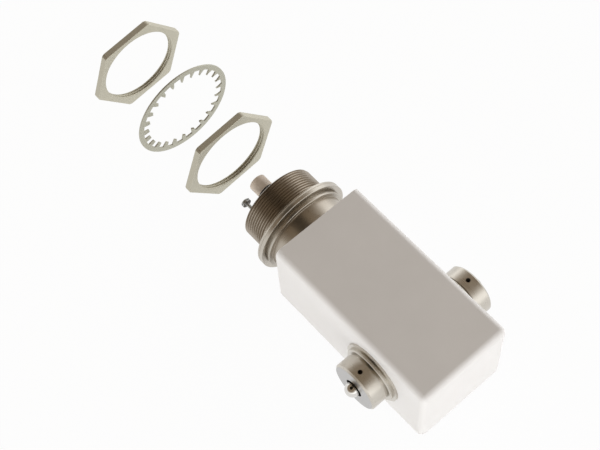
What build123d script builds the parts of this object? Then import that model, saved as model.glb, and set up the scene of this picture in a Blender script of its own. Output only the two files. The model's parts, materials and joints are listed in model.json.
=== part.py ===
from build123d import *
import math
import os

# Panel-mounted high-voltage vacuum relay potted in a cast block. Millimetres, +Z up.
# The origin is on the boss axis, in the plane of the flange face that seats on a panel.
# +Y runs out along the threaded boss, -Y runs into the block, and X runs through the
# two high-voltage terminals.

os.makedirs("parts", exist_ok=True)

# --- General fits ---
FIT = 0.05  # gap between pieces of one body that slide together when they are assembled
RUNNING = 0.05  # radial clearance of the sliding stem
RELEASE = 0.05  # gap left at each end of the armature's travel
SEAT = 0.1  # gap left between hardware pieces that are run up against each other
OVERCUT = 1.0  # how far a cutting solid runs past the surface that it cuts

# --- Threaded boss ---
THREAD_R = 19.05  # 1-1/2 inch thread
THREAD_PITCH = 1.27  # 20 threads per inch
THREAD_L = 14.7
THREAD_CREST = 0.16
THREAD_VALLEY = 0.3
THREAD_CHAMFER = 0.7
PILOT_L = 0.9  # plain collar that centres the panel hole, between flange and thread
BOSS_WALL = 2.6  # metal left under the thread
FLANGE_R = 23.7
FLANGE_T = 2.9
RIM_GROOVE_AT = 1.0  # centre of the fine groove round the flange's rim
RIM_GROOVE_W = 0.5
RIM_GROOVE_DEPTH = 0.3
RIM_CHAMFER = 0.2
COLLAR_GAP = 1.1  # slot between the flange and the collar behind it
COLLAR_GAP_R = 20.2
COLLAR_R = 21.4
COLLAR_T = 1.1
NECK_R = 19.4
NECK_L = 8.2
ROOT_WALL = 1.4
ROOT_L = 10.0  # length of boss sunk in the potting
ROOT_GROOVE_W = 2.5
ROOT_GROOVE_DEPTH = 0.6

# --- Header in the boss's mouth ---
HEADER_RECESS = 3.5
HEADER_T = 2.4
HEADER_LEDGE = 0.6  # width of the shoulder that the header rests on
BACK_SPACE = 2.6
POST_R = 4.15
POST_BASE_R = 4.9
POST_BASE_L = 12.4
POST_L = 17.5
POST_ROUND = 1.2
POST_SHOULDER_CHAMFER = 0.4
POST_BORE_R = 2.3
POST_BORE_L = 15.0
TUBE_R = 1.6
TUBE_BORE_R = 0.9
TUBE_PROUD = 13.2  # exhaust tube above the header
TUBE_SEALED = 3.4  # length of its pinched end
TUBE_PINCH_T = 0.7
TUBE_SEAT = 8.0  # length brazed into the core
PIN_ANGLE = 160.0  # angle of the first coil pin about +Y, from +X towards +Z
PIN_R = 0.8
PIN_HEAD_R = 2.2
PIN_HEAD_T = 1.5
PIN_PROUD = 11.0
PIN_TAIL = 1.2
BUSH_WALL = 1.8
BUSH_PROUD = 0.5

# --- Coil and magnet ---
YOKE_WALL = 1.8
YOKE_BACK_T = 2.0
YOKE_PROUD = 2.5  # how far the yoke stands out of the boss's root
CORE_R = 6.0
CORE_SPIGOT_R = 4.5
POLE_PLATE_T = 3.0
SPACER_W = 2.0
BOBBIN_TUBE_T = 1.2
BOBBIN_FLANGE_T = 1.2
BOBBIN_GAP = 0.25
WINDING_UNDER = 0.5  # winding below the bobbin's rim
LEAD_EDGE = 1.25  # lead axis to the yoke's inner wall
LEAD_R = 0.35
LEAD_HOLE_GAP = 0.25
YOKE_HOLE_GAP = 0.8

# --- Moving armature ---
TRAVEL = 1.6
ARMATURE_INSET = 3.7  # armature's edge inside the yoke's outer wall
ARMATURE_T = 3.4
HUB_R = 4.2
HUB_L = 4.0
STEM_R = 2.0
STEM_L = 16.0
GUIDE_SPARE = 1.0  # bore left beyond the stem's end when the armature is closed
SPRING_WIRE_R = 0.3
SPRING_TURNS = 5
SPRING_STEM_GAP = 0.35
SPRING_WALL_GAP = 0.35
SPRING_POCKET = 7.0
ROD_R = 2.5
ROD_NECK_R = 1.5
ROD_TAIL = 0.5
BRIDGE_L = 22.0
BRIDGE_H = 6.0
BRIDGE_T = 2.0
TIP_R = 2.2
TIP_T = 0.8
TIP_X = 8.0
CLIP_R = 3.0
CLIP_T = 1.0

# --- Vacuum envelope ---
CERAMIC_WALL = 3.0
CERAMIC_L = 59.1
SEAL_T = 1.0  # thickness of the seal's flange
SEAL_WALL = 1.0
SEAL_LEDGE = 1.4  # ceramic's end standing out round the seal's wall
ARMATURE_GAP = 1.6  # round the armature, inside the seal
BACKSTOP_LAP = 1.2  # how far the seal's inner flange reaches under the armature
REAR_CAP_T = 1.2
REAR_PLUG_T = 1.5

# --- Cast block ---
CASE_WALL = 3.0
CASE_EDGE_R = 3.0
CAVITY_EDGE_R = 1.0
POTTING_X = 4.35  # potting between ceramic and case, across the terminals
POTTING_Z = 2.35  # potting between ceramic and case, above and below
POTTING_END = 5.3

# --- High-voltage terminals, one on each side ---
TERM_DEPTH = 38.9  # ceramic's front end to the terminal axis
CONTACT_R = 3.0
CONTACT_INNER_X = 5.0
CONTACT_FLAT = 0.4
CONTACT_FLAT_EDGE = 1.0  # full rod left between the flat and the ceramic's wall
FEED_R = 5.5
FEED_T = 1.4
FEED_SINK = 0.6  # spot face in the round ceramic
ADAPTER_R = 6.0
ADAPTER_SHANK_R = 4.0
CONTACT_SOCKET = 2.7
CAP_BASE_R = 15.0  # thin round base that lies on the case wall
CAP_BASE_T = 1.0
CAP_COLLAR_R = 13.4
CAP_COLLAR_T = 1.6
CAP_GROOVE_R = 11.4
CAP_GROOVE_W = 0.7
CAP_R = 11.75
CAP_L = 7.6
CAP_INNER_CHAMFER = 0.3
CAP_OUTER_CHAMFER = 0.8
CAP_WEB = 0.8
RECESS_R = 4.4
BALL_R = 3.5
BALL_RISE = 0.65  # ball centre beyond the cap's end face
BALL_FLOOR_GAP = 2.4  # ball to the floor of the recess
BALL_SHANK_R = 1.6
BALL_SHANK_THREAD = 2.3  # length screwed into the adapter
CROSS_HOLE_R = 1.05
CROSS_HOLE_SINK = 3.6  # hole axis below the cap's end face

# --- Panel hardware, set out along the boss axis ---
NUT_FLATS = 44.0
NUT_T = 3.2  # 1/8 inch
NUT_CLEARANCE = 0.1  # radial, over the thread's crests
NUT_CORNER_CHAMFER = 0.9
NUT_BORE_CHAMFER = 0.55
NUT_TURN = 7.4  # first corner's angle about +Y, from +X towards +Z
WASHER_R = 25.4
WASHER_RIM_W = 2.5
WASHER_T = 0.8
WASHER_TOOTH_GAP = 0.9  # tooth tips to the thread's crests
WASHER_TEETH = 24
TOOTH_ROOT_W = 2.4
TOOTH_TIP_W = 1.4
TOOTH_ROOT_TWIST = 10.0
TOOTH_TIP_TWIST = 36.0
INNER_NUT_Y = 46.6  # face towards the block
WASHER_Y = 81.7  # middle plane
OUTER_NUT_Y = 114.8  # face towards the block

# --- Worked-out sizes ---
FLANK_W = (THREAD_PITCH - THREAD_CREST - THREAD_VALLEY) / 2
THREAD_DEPTH = FLANK_W * math.tan(math.radians(60))
THREAD_ROOT_R = THREAD_R - THREAD_DEPTH
BORE_R = THREAD_ROOT_R - BOSS_WALL
ROOT_R = BORE_R + ROOT_WALL
HEADER_BORE_R = BORE_R + HEADER_LEDGE
YOKE_R = BORE_R - FIT
YOKE_INNER_R = YOKE_R - YOKE_WALL
BOBBIN_R = YOKE_INNER_R - BOBBIN_GAP
BOBBIN_BORE_R = CORE_R + FIT
BOBBIN_TUBE_R = BOBBIN_BORE_R + BOBBIN_TUBE_T
PIN_CIRCLE_R = YOKE_INNER_R - LEAD_EDGE
STEM_BORE_R = STEM_R + RUNNING
SPRING_COIL_R = STEM_R + SPRING_STEM_GAP + SPRING_WIRE_R
SPRING_POCKET_R = SPRING_COIL_R + SPRING_WIRE_R + SPRING_WALL_GAP
ARMATURE_R = YOKE_R - ARMATURE_INSET
SEAL_BORE_R = ARMATURE_R + ARMATURE_GAP
SEAL_R = SEAL_BORE_R + SEAL_WALL
CERAMIC_R = SEAL_R + SEAL_LEDGE
CERAMIC_BORE_R = CERAMIC_R - CERAMIC_WALL

# Places along the boss axis, from the mouth of the boss to the far end of the block
Y_HEADER_OUT = THREAD_L - HEADER_RECESS
Y_HEADER_IN = Y_HEADER_OUT - HEADER_T
Y_YOKE_BACK = Y_HEADER_IN - BACK_SPACE
Y_YOKE_FLOOR = Y_YOKE_BACK - YOKE_BACK_T
Y_COLLAR = -FLANGE_T - COLLAR_GAP
Y_BLOCK_FRONT = Y_COLLAR - COLLAR_T - NECK_L
Y_ROOT_END = Y_BLOCK_FRONT - ROOT_L
Y_YOKE_RIM = Y_ROOT_END - YOKE_PROUD
Y_POLE_FACE = Y_YOKE_RIM - POLE_PLATE_T
Y_ARMATURE_FRONT = Y_POLE_FACE - TRAVEL - RELEASE
Y_ARMATURE_BACK = Y_ARMATURE_FRONT - ARMATURE_T
Y_SEAL_FLANGE = Y_ARMATURE_BACK - RELEASE
Y_CERAMIC_FRONT = Y_SEAL_FLANGE - SEAL_T
Y_CERAMIC_BACK = Y_CERAMIC_FRONT - CERAMIC_L
Y_REAR_CAP = Y_CERAMIC_BACK - REAR_CAP_T
Y_CASE_FLOOR = Y_REAR_CAP - POTTING_END
Y_BLOCK_BACK = Y_CASE_FLOOR - CASE_WALL
Y_TERM = Y_CERAMIC_FRONT - TERM_DEPTH
Y_STEM_END = Y_ARMATURE_FRONT + STEM_L
Y_GUIDE_END = Y_STEM_END + TRAVEL + GUIDE_SPARE
Y_CONTACT_FACE = Y_TERM - CONTACT_R + CONTACT_FLAT
Y_TIP_FRONT = Y_CONTACT_FACE - TRAVEL - RELEASE
Y_BRIDGE_FRONT = Y_TIP_FRONT - TIP_T
Y_BRIDGE_BACK = Y_BRIDGE_FRONT - BRIDGE_T
Y_CLIP_BACK = Y_BRIDGE_BACK - CLIP_T
Y_ROD_END = Y_CLIP_BACK - ROD_TAIL

BLOCK_W = 2 * (CERAMIC_R + POTTING_X + CASE_WALL)
BLOCK_H = 2 * (CERAMIC_R + POTTING_Z + CASE_WALL)
BLOCK_L = Y_BLOCK_FRONT - Y_BLOCK_BACK

# Distances out from the middle along each terminal
X_FEED_IN = CERAMIC_R - FEED_SINK
X_FEED_OUT = X_FEED_IN + FEED_T
X_CONTACT_END = X_FEED_OUT + CONTACT_SOCKET
X_SIDE = BLOCK_W / 2
X_BASE = X_SIDE + CAP_BASE_T
X_COLLAR = X_BASE + CAP_COLLAR_T
X_GROOVE = X_COLLAR + CAP_GROOVE_W
X_FACE = X_GROOVE + CAP_L
X_BALL = X_FACE + BALL_RISE
X_RECESS = X_BALL - BALL_R - BALL_FLOOR_GAP
X_SHANK_END = X_RECESS - CAP_WEB
X_BALL_SHANK = X_SHANK_END - BALL_SHANK_THREAD

PIN_ANGLES = [PIN_ANGLE, PIN_ANGLE - 180]
SIDES = {"left": -1, "right": 1}


def turned(points):
    """Solid turned about the boss axis from (radius, y) points."""
    return revolve(make_face(Polyline(*points, close=True)), axis=Axis.Y)


def tube(inner_r, outer_r, y0, y1):
    """Tube about the boss axis. An inner radius of 0 makes it solid."""
    return turned([(inner_r, y0), (outer_r, y0), (outer_r, y1), (inner_r, y1)])


def placed_side(side, solid):
    """A solid drawn about +X, moved to the terminal on one side."""
    return Pos(0, Y_TERM, 0) * Rot(0, 0, 90 * (1 - side)) * solid


def turned_side(side, points):
    """Solid turned about a terminal's axis from (distance from the middle, radius) points."""
    return placed_side(side, revolve(make_face(Polyline(*points, close=True)), axis=Axis.X))


def tube_side(side, inner_r, outer_r, x0, x1):
    """Tube about a terminal's axis, between two distances from the middle."""
    return turned_side(side, [(x0, inner_r), (x0, outer_r), (x1, outer_r), (x1, inner_r)])


def at_pins(shape):
    """One copy of the shape at each coil pin."""
    places = []
    for angle in PIN_ANGLES:
        turn = math.radians(angle)
        places.append(Pos(PIN_CIRCLE_R * math.cos(turn), 0, PIN_CIRCLE_R * math.sin(turn)))
    return [place * shape for place in places]


def slab(width, height, y0, y1):
    """Box centred on the boss axis, from y0 down to y1."""
    return Pos(0, (y0 + y1) / 2, 0) * Box(width, y0 - y1, height)


def rounded_slab(width, height, y0, y1, radius):
    """Slab with its long edges and its far-end edges rounded."""
    body = slab(width, height, y0, y1)
    far_end = body.faces().sort_by(Axis.Y)[0]
    return fillet(body.edges().filter_by(Axis.Y) + far_end.edges(), radius)


def cavity():
    """Inside of the cast case."""
    width = BLOCK_W - 2 * CASE_WALL
    height = BLOCK_H - 2 * CASE_WALL
    return rounded_slab(width, height, Y_BLOCK_FRONT, Y_CASE_FLOOR, CAVITY_EDGE_R)


def block_case():
    body = rounded_slab(BLOCK_W, BLOCK_H, Y_BLOCK_FRONT, Y_BLOCK_BACK, CASE_EDGE_R) - cavity()
    for side in SIDES.values():
        body -= tube_side(side, 0, ADAPTER_R, X_FEED_OUT, X_SIDE + OVERCUT)
    return body


def root_groove():
    """Groove round the boss's root that keys it in the potting."""
    middle = Y_BLOCK_FRONT - ROOT_L / 2
    half = ROOT_GROOVE_W / 2
    return tube(ROOT_R - ROOT_GROOVE_DEPTH, ROOT_R + OVERCUT, middle - half, middle + half)


def potting_fill():
    body = cavity()
    body -= tube(0, ROOT_R, Y_ROOT_END, Y_BLOCK_FRONT) - root_groove()
    body -= tube(0, YOKE_R, Y_POLE_FACE, Y_ROOT_END)
    body -= tube(0, SEAL_R, Y_SEAL_FLANGE, Y_POLE_FACE)
    body -= tube(0, CERAMIC_R, Y_REAR_CAP, Y_SEAL_FLANGE)
    for side in SIDES.values():
        body -= tube_side(side, 0, FEED_R, X_FEED_IN, X_FEED_OUT)
        body -= tube_side(side, 0, ADAPTER_R, X_FEED_OUT, X_SIDE)
    return body


def thread_points(start, count, crest_r, valley_r):
    """Ridges of the thread along Y, from one valley to the next."""
    points = []
    for turn in range(count):
        y = start + turn * THREAD_PITCH
        points.append((valley_r, y))
        points.append((crest_r, y + FLANK_W))
        points.append((crest_r, y + FLANK_W + THREAD_CREST))
        points.append((valley_r, y + 2 * FLANK_W + THREAD_CREST))
    return points


def mounting_boss():
    thread_room = THREAD_L - PILOT_L - THREAD_CHAMFER
    ridges = int(thread_room // THREAD_PITCH)
    thread_start = THREAD_L - THREAD_CHAMFER - ridges * THREAD_PITCH
    rim_groove = [
        (FLANGE_R, -RIM_GROOVE_AT - RIM_GROOVE_W / 2),
        (FLANGE_R - RIM_GROOVE_DEPTH, -RIM_GROOVE_AT),
        (FLANGE_R, -RIM_GROOVE_AT + RIM_GROOVE_W / 2),
    ]
    body = turned(
        [
            (BORE_R, Y_ROOT_END),
            (ROOT_R, Y_ROOT_END),
            (ROOT_R, Y_BLOCK_FRONT),
            (NECK_R, Y_BLOCK_FRONT),
            (NECK_R, Y_COLLAR - COLLAR_T),
            (COLLAR_R, Y_COLLAR - COLLAR_T),
            (COLLAR_R, Y_COLLAR),
            (COLLAR_GAP_R, Y_COLLAR),
            (COLLAR_GAP_R, -FLANGE_T),
            (FLANGE_R - RIM_CHAMFER, -FLANGE_T),
            (FLANGE_R, -FLANGE_T + RIM_CHAMFER),
            *rim_groove,
            (FLANGE_R, -RIM_CHAMFER),
            (FLANGE_R - RIM_CHAMFER, 0),
            (THREAD_R, 0),
            (THREAD_R, PILOT_L),
            (THREAD_ROOT_R, PILOT_L),
            *thread_points(thread_start, ridges, THREAD_R, THREAD_ROOT_R),
            (THREAD_ROOT_R, THREAD_L - THREAD_CHAMFER),
            (THREAD_ROOT_R - THREAD_CHAMFER / 2, THREAD_L),
            (HEADER_BORE_R, THREAD_L),
            (HEADER_BORE_R, Y_HEADER_IN),
            (BORE_R, Y_HEADER_IN),
        ]
    )
    return body - root_groove()


def header_disc():
    body = tube(TUBE_R + FIT, HEADER_BORE_R - FIT, Y_HEADER_IN, Y_HEADER_OUT)
    for hole in at_pins(tube(0, PIN_R + BUSH_WALL, Y_HEADER_IN, Y_HEADER_OUT)):
        body -= hole
    return body


def pin_bushings():
    bush = tube(PIN_R, PIN_R + BUSH_WALL, Y_HEADER_IN, Y_HEADER_OUT + BUSH_PROUD)
    return Compound(at_pins(bush))


def coil_pins():
    """The two coil pins, each with its turned head."""
    tip = Y_HEADER_OUT + PIN_PROUD
    pin = turned(
        [
            (0, Y_HEADER_IN - PIN_TAIL),
            (PIN_R, Y_HEADER_IN - PIN_TAIL),
            (PIN_R, tip - PIN_HEAD_T),
            (PIN_HEAD_R, tip - PIN_HEAD_T),
            (PIN_HEAD_R, tip),
            (0, tip),
        ]
    )
    return at_pins(pin)


def coil_leads():
    start = Y_YOKE_FLOOR - SEAT - BOBBIN_FLANGE_T
    return Compound(at_pins(tube(0, LEAD_R, start, Y_HEADER_IN - PIN_TAIL)))


def centre_post():
    shoulder = Y_HEADER_OUT + POST_BASE_L
    top = Y_HEADER_OUT + POST_L
    body = turned(
        [
            (POST_BORE_R, Y_HEADER_OUT),
            (POST_BASE_R, Y_HEADER_OUT),
            (POST_BASE_R, shoulder - POST_SHOULDER_CHAMFER),
            (POST_BASE_R - POST_SHOULDER_CHAMFER, shoulder),
            (POST_R, shoulder),
            (POST_R, top),
            (0, top),
            (0, Y_HEADER_OUT + POST_BORE_L),
            (POST_BORE_R, Y_HEADER_OUT + POST_BORE_L),
        ]
    )
    crown = body.edges().filter_by(GeomType.CIRCLE).sort_by(Axis.Y)[-1]
    return fillet(crown, POST_ROUND)


def exhaust_tube():
    tip = Y_HEADER_OUT + TUBE_PROUD
    pinch = tip - TUBE_SEALED
    body = tube(0, TUBE_R, Y_YOKE_BACK - TUBE_SEAT, tip)
    body -= tube(0, TUBE_BORE_R, Y_YOKE_BACK - TUBE_SEAT, pinch)
    for side in (-1, 1):
        flat = [(side * TUBE_R, pinch), (side * 2 * TUBE_R, tip), (side * TUBE_PINCH_T / 2, tip)]
        wedge = make_face(Polyline(*flat, close=True))
        body -= extrude(wedge, 2 * TUBE_R, both=True)
    return body


def yoke_can():
    body = tube(0, YOKE_R, Y_YOKE_RIM, Y_YOKE_BACK)
    body -= tube(0, YOKE_INNER_R, Y_YOKE_RIM, Y_YOKE_FLOOR)
    body -= tube(0, CORE_SPIGOT_R, Y_YOKE_FLOOR, Y_YOKE_BACK)
    for hole in at_pins(tube(0, LEAD_R + YOKE_HOLE_GAP, Y_YOKE_FLOOR, Y_YOKE_BACK)):
        body -= hole
    return body


def coil_bobbin():
    front = Y_YOKE_RIM + SEAT
    back = Y_YOKE_FLOOR - SEAT
    body = turned(
        [
            (BOBBIN_BORE_R, front),
            (BOBBIN_R, front),
            (BOBBIN_R, front + BOBBIN_FLANGE_T),
            (BOBBIN_TUBE_R, front + BOBBIN_FLANGE_T),
            (BOBBIN_TUBE_R, back - BOBBIN_FLANGE_T),
            (BOBBIN_R, back - BOBBIN_FLANGE_T),
            (BOBBIN_R, back),
            (BOBBIN_BORE_R, back),
        ]
    )
    for hole in at_pins(tube(0, LEAD_R + LEAD_HOLE_GAP, back - BOBBIN_FLANGE_T, back)):
        body -= hole
    return body


def coil_winding():
    front = Y_YOKE_RIM + SEAT + BOBBIN_FLANGE_T
    back = Y_YOKE_FLOOR - SEAT - BOBBIN_FLANGE_T
    return tube(BOBBIN_TUBE_R, BOBBIN_R - WINDING_UNDER, front, back)


def coil_core():
    pocket = Y_POLE_FACE + SPRING_POCKET
    return turned(
        [
            (SPRING_POCKET_R, Y_POLE_FACE),
            (CORE_R, Y_POLE_FACE),
            (CORE_R, Y_YOKE_FLOOR),
            (CORE_SPIGOT_R, Y_YOKE_FLOOR),
            (CORE_SPIGOT_R, Y_YOKE_BACK),
            (TUBE_R, Y_YOKE_BACK),
            (TUBE_R, Y_YOKE_BACK - TUBE_SEAT),
            (TUBE_BORE_R, Y_YOKE_BACK - TUBE_SEAT),
            (TUBE_BORE_R, Y_GUIDE_END),
            (STEM_BORE_R, Y_GUIDE_END),
            (STEM_BORE_R, pocket),
            (SPRING_POCKET_R, pocket),
        ]
    )


def pole_plate():
    return tube(CORE_R + SPACER_W, YOKE_R, Y_POLE_FACE, Y_YOKE_RIM)


def pole_spacer_ring():
    return tube(CORE_R, CORE_R + SPACER_W, Y_POLE_FACE, Y_YOKE_RIM)


def front_seal_ring():
    """Metal sleeve between pole plate and ceramic. Its inner flange is the armature's backstop."""
    return turned(
        [
            (ARMATURE_R - BACKSTOP_LAP, Y_CERAMIC_FRONT),
            (CERAMIC_R, Y_CERAMIC_FRONT),
            (CERAMIC_R, Y_SEAL_FLANGE),
            (SEAL_R, Y_SEAL_FLANGE),
            (SEAL_R, Y_POLE_FACE),
            (SEAL_BORE_R, Y_POLE_FACE),
            (SEAL_BORE_R, Y_SEAL_FLANGE),
            (ARMATURE_R - BACKSTOP_LAP, Y_SEAL_FLANGE),
        ]
    )


def ceramic_envelope():
    body = tube(CERAMIC_BORE_R, CERAMIC_R, Y_CERAMIC_BACK, Y_CERAMIC_FRONT)
    for side in SIDES.values():
        body -= tube_side(side, 0, FEED_R, X_FEED_IN, CERAMIC_R + OVERCUT)
        body -= tube_side(side, 0, CONTACT_R, CONTACT_INNER_X, CERAMIC_R + OVERCUT)
    return body


def rear_seal_cap():
    cap = tube(0, CERAMIC_R, Y_REAR_CAP, Y_CERAMIC_BACK)
    plug = tube(0, CERAMIC_BORE_R - FIT, Y_CERAMIC_BACK, Y_CERAMIC_BACK + REAR_PLUG_T)
    return cap + plug


def armature():
    body = tube(STEM_R, ARMATURE_R, Y_ARMATURE_BACK, Y_ARMATURE_FRONT)
    return body + tube(ROD_R, HUB_R, Y_ARMATURE_BACK - HUB_L, Y_ARMATURE_BACK)


def armature_stem():
    return tube(0, STEM_R, Y_ARMATURE_BACK, Y_STEM_END)


def return_spring():
    """Coil spring at its length with the relay closed, seated on the armature."""
    length = SPRING_POCKET - RELEASE
    height = length - 2 * SPRING_WIRE_R
    path = Helix(pitch=height / SPRING_TURNS, height=height, radius=SPRING_COIL_R)
    section = Plane(path @ 0, z_dir=path % 0) * Circle(SPRING_WIRE_R)
    coil = sweep(section, path=path, is_frenet=True)
    return Pos(0, Y_ARMATURE_FRONT + SPRING_WIRE_R, 0) * Rot(-90, 0, 0) * coil


def actuator_rod():
    shoulder = tube(0, ROD_R, Y_BRIDGE_FRONT, Y_ARMATURE_BACK)
    return shoulder + tube(0, ROD_NECK_R, Y_ROD_END, Y_BRIDGE_FRONT)


def contact_bridge():
    bar = slab(BRIDGE_L, BRIDGE_H, Y_BRIDGE_FRONT, Y_BRIDGE_BACK)
    return bar - tube(0, ROD_NECK_R, Y_BRIDGE_BACK, Y_BRIDGE_FRONT)


def bridge_contacts():
    tip = tube(0, TIP_R, Y_BRIDGE_FRONT, Y_TIP_FRONT)
    return Compound([Pos(side * TIP_X, 0, 0) * tip for side in SIDES.values()])


def bridge_clip():
    return tube(ROD_NECK_R, CLIP_R, Y_CLIP_BACK, Y_BRIDGE_BACK)


def fixed_contact(side):
    """Contact rod through the ceramic wall, with a flat that meets the moving contact."""
    body = tube_side(side, 0, CONTACT_R, CONTACT_INNER_X, X_CONTACT_END)
    flat_w = CERAMIC_BORE_R - CONTACT_INNER_X - CONTACT_FLAT_EDGE
    flat = Box(flat_w, CONTACT_FLAT, 2 * CONTACT_R)
    flat_x = side * (CONTACT_INNER_X + flat_w / 2)
    return body - Pos(flat_x, Y_CONTACT_FACE - CONTACT_FLAT / 2, 0) * flat


def feedthrough_ring(side):
    return tube_side(side, CONTACT_R, FEED_R, X_FEED_IN, X_FEED_OUT)


def terminal_adapter(side):
    """Metal stud from the contact rod out through the case wall."""
    return turned_side(
        side,
        [
            (X_FEED_OUT, CONTACT_R),
            (X_FEED_OUT, ADAPTER_R),
            (X_SIDE, ADAPTER_R),
            (X_SIDE, ADAPTER_SHANK_R),
            (X_SHANK_END, ADAPTER_SHANK_R),
            (X_SHANK_END, BALL_SHANK_R),
            (X_BALL_SHANK, BALL_SHANK_R),
            (X_BALL_SHANK, 0),
            (X_CONTACT_END, 0),
            (X_CONTACT_END, CONTACT_R),
        ],
    )


def terminal_cap(side):
    body = turned_side(
        side,
        [
            (X_SIDE, ADAPTER_SHANK_R),
            (X_SIDE, CAP_BASE_R),
            (X_BASE, CAP_BASE_R),
            (X_BASE, CAP_COLLAR_R),
            (X_COLLAR, CAP_COLLAR_R),
            (X_COLLAR, CAP_GROOVE_R),
            (X_GROOVE, CAP_GROOVE_R),
            (X_GROOVE + CAP_INNER_CHAMFER, CAP_R),
            (X_FACE - CAP_OUTER_CHAMFER, CAP_R),
            (X_FACE, CAP_R - CAP_OUTER_CHAMFER),
            (X_FACE, RECESS_R),
            (X_RECESS, RECESS_R),
            (X_RECESS, BALL_SHANK_R),
            (X_SHANK_END, BALL_SHANK_R),
            (X_SHANK_END, ADAPTER_SHANK_R),
        ],
    )
    depth = CAP_R + OVERCUT
    drill = Cylinder(CROSS_HOLE_R, depth, align=(Align.CENTER, Align.CENTER, Align.MIN))
    return body - Pos(side * (X_FACE - CROSS_HOLE_SINK), Y_TERM, 0) * drill


def ball_stud(side):
    """Polished ball on a shank that screws into the adapter."""
    x_join = X_BALL - math.sqrt(BALL_R**2 - BALL_SHANK_R**2)
    shank = Polyline(
        (x_join, BALL_SHANK_R), (X_BALL_SHANK, BALL_SHANK_R), (X_BALL_SHANK, 0), (X_BALL + BALL_R, 0)
    )
    ball = ThreePointArc((X_BALL + BALL_R, 0), (X_BALL, BALL_R), (x_join, BALL_SHANK_R))
    return placed_side(side, revolve(make_face(shank + ball), axis=Axis.X))


def nut(near_y):
    """Thin hexagon nut. Its bore clears the boss's thread crests, with a thread cut outwards."""
    half_t = NUT_T / 2
    corner_r = NUT_FLATS / math.sqrt(3)
    blank = extrude(RegularPolygon(corner_r, 6), half_t, both=True)
    blank = chamfer(blank.edges().filter_by(Axis.Z), NUT_CORNER_CHAMFER)
    blank = Rot(-90, 0, 0) * Rot(0, 0, -NUT_TURN) * blank
    crest_r = THREAD_R + NUT_CLEARANCE
    flat_l = NUT_T - 2 * NUT_BORE_CHAMFER
    ridges = max(1, int(flat_l // THREAD_PITCH))
    start = -ridges * THREAD_PITCH / 2
    bore = turned(
        [
            (0, -half_t - OVERCUT),
            (crest_r + NUT_BORE_CHAMFER, -half_t - OVERCUT),
            (crest_r + NUT_BORE_CHAMFER, -half_t),
            (crest_r, -half_t + NUT_BORE_CHAMFER),
            *thread_points(start, ridges, crest_r + THREAD_DEPTH, crest_r),
            (crest_r, half_t - NUT_BORE_CHAMFER),
            (crest_r + NUT_BORE_CHAMFER, half_t),
            (crest_r + NUT_BORE_CHAMFER, half_t + OVERCUT),
            (0, half_t + OVERCUT),
        ]
    )
    return Pos(0, near_y + half_t, 0) * (blank - bore)


def washer_tooth():
    """One twisted inner tooth, pointing from the rim at +X towards the centre."""
    root_r = WASHER_R - WASHER_RIM_W / 2
    tip_r = THREAD_R + WASHER_TOOTH_GAP
    sections = []
    for radius, width, twist in (
        (root_r, TOOTH_ROOT_W, TOOTH_ROOT_TWIST),
        (tip_r, TOOTH_TIP_W, TOOTH_TIP_TWIST),
    ):
        plane = Plane(origin=(radius, 0, 0), x_dir=(0, 1, 0), z_dir=(-1, 0, 0))
        sections.append(plane * Rot(0, 0, twist) * Rectangle(width, WASHER_T))
    return loft(sections, ruled=True)


def lock_washer():
    half_t = WASHER_T / 2
    rim = tube(WASHER_R - WASHER_RIM_W, WASHER_R, -half_t, half_t)
    flat = Rot(-90, 0, 0) * washer_tooth()
    for tooth in range(WASHER_TEETH):
        rim += Rot(0, tooth * 360 / WASHER_TEETH, 0) * flat
    return Pos(0, WASHER_Y, 0) * rim


def parts():
    """Every piece by its node name."""
    first_pin, second_pin = coil_pins()
    pieces = {
        "block_case": block_case(),
        "potting_fill": potting_fill(),
        "mounting_boss": mounting_boss(),
        "header_disc": header_disc(),
        "pin_bushings": pin_bushings(),
        "left_coil_pin": first_pin,
        "right_coil_pin": second_pin,
        "coil_leads": coil_leads(),
        "centre_post": centre_post(),
        "exhaust_tube": exhaust_tube(),
        "yoke_can": yoke_can(),
        "coil_bobbin": coil_bobbin(),
        "coil_winding": coil_winding(),
        "coil_core": coil_core(),
        "pole_plate": pole_plate(),
        "pole_spacer_ring": pole_spacer_ring(),
        "front_seal_ring": front_seal_ring(),
        "ceramic_envelope": ceramic_envelope(),
        "rear_seal_cap": rear_seal_cap(),
        "armature": armature(),
        "armature_stem": armature_stem(),
        "return_spring": return_spring(),
        "actuator_rod": actuator_rod(),
        "contact_bridge": contact_bridge(),
        "bridge_contacts": bridge_contacts(),
        "bridge_clip": bridge_clip(),
        "inner_nut": nut(INNER_NUT_Y),
        "lock_washer": lock_washer(),
        "outer_nut": nut(OUTER_NUT_Y),
    }
    for name, side in SIDES.items():
        pieces[name + "_fixed_contact"] = fixed_contact(side)
        pieces[name + "_feedthrough_ring"] = feedthrough_ring(side)
        pieces[name + "_terminal_adapter"] = terminal_adapter(side)
        pieces[name + "_terminal_cap"] = terminal_cap(side)
        pieces[name + "_ball_stud"] = ball_stud(side)
    return pieces


for node, piece in parts().items():
    export_step(piece, f"parts/{node}.step")

TWIST = math.radians(TOOTH_TIP_TWIST)
TOOTH_HALF_T = (TOOTH_TIP_W * math.sin(TWIST) + WASHER_T * math.cos(TWIST)) / 2
print("block", round(BLOCK_W, 2), round(BLOCK_H, 2), round(BLOCK_L, 2))
print("terminal axis y", round(Y_TERM, 3), "block front", round(Y_BLOCK_FRONT, 3))
print("inner nut travel", round(INNER_NUT_Y - SEAT, 3))
print("washer travel", round(WASHER_Y - TOOTH_HALF_T - INNER_NUT_Y - NUT_T - SEAT, 3))
print("outer nut travel", round(OUTER_NUT_Y - WASHER_Y - TOOTH_HALF_T - SEAT, 3))
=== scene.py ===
import json
import math

import bmesh
import bpy
from bpy.props import FloatProperty, FloatVectorProperty, IntProperty, PointerProperty
from mathutils import Matrix, Quaternion, Vector


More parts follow.
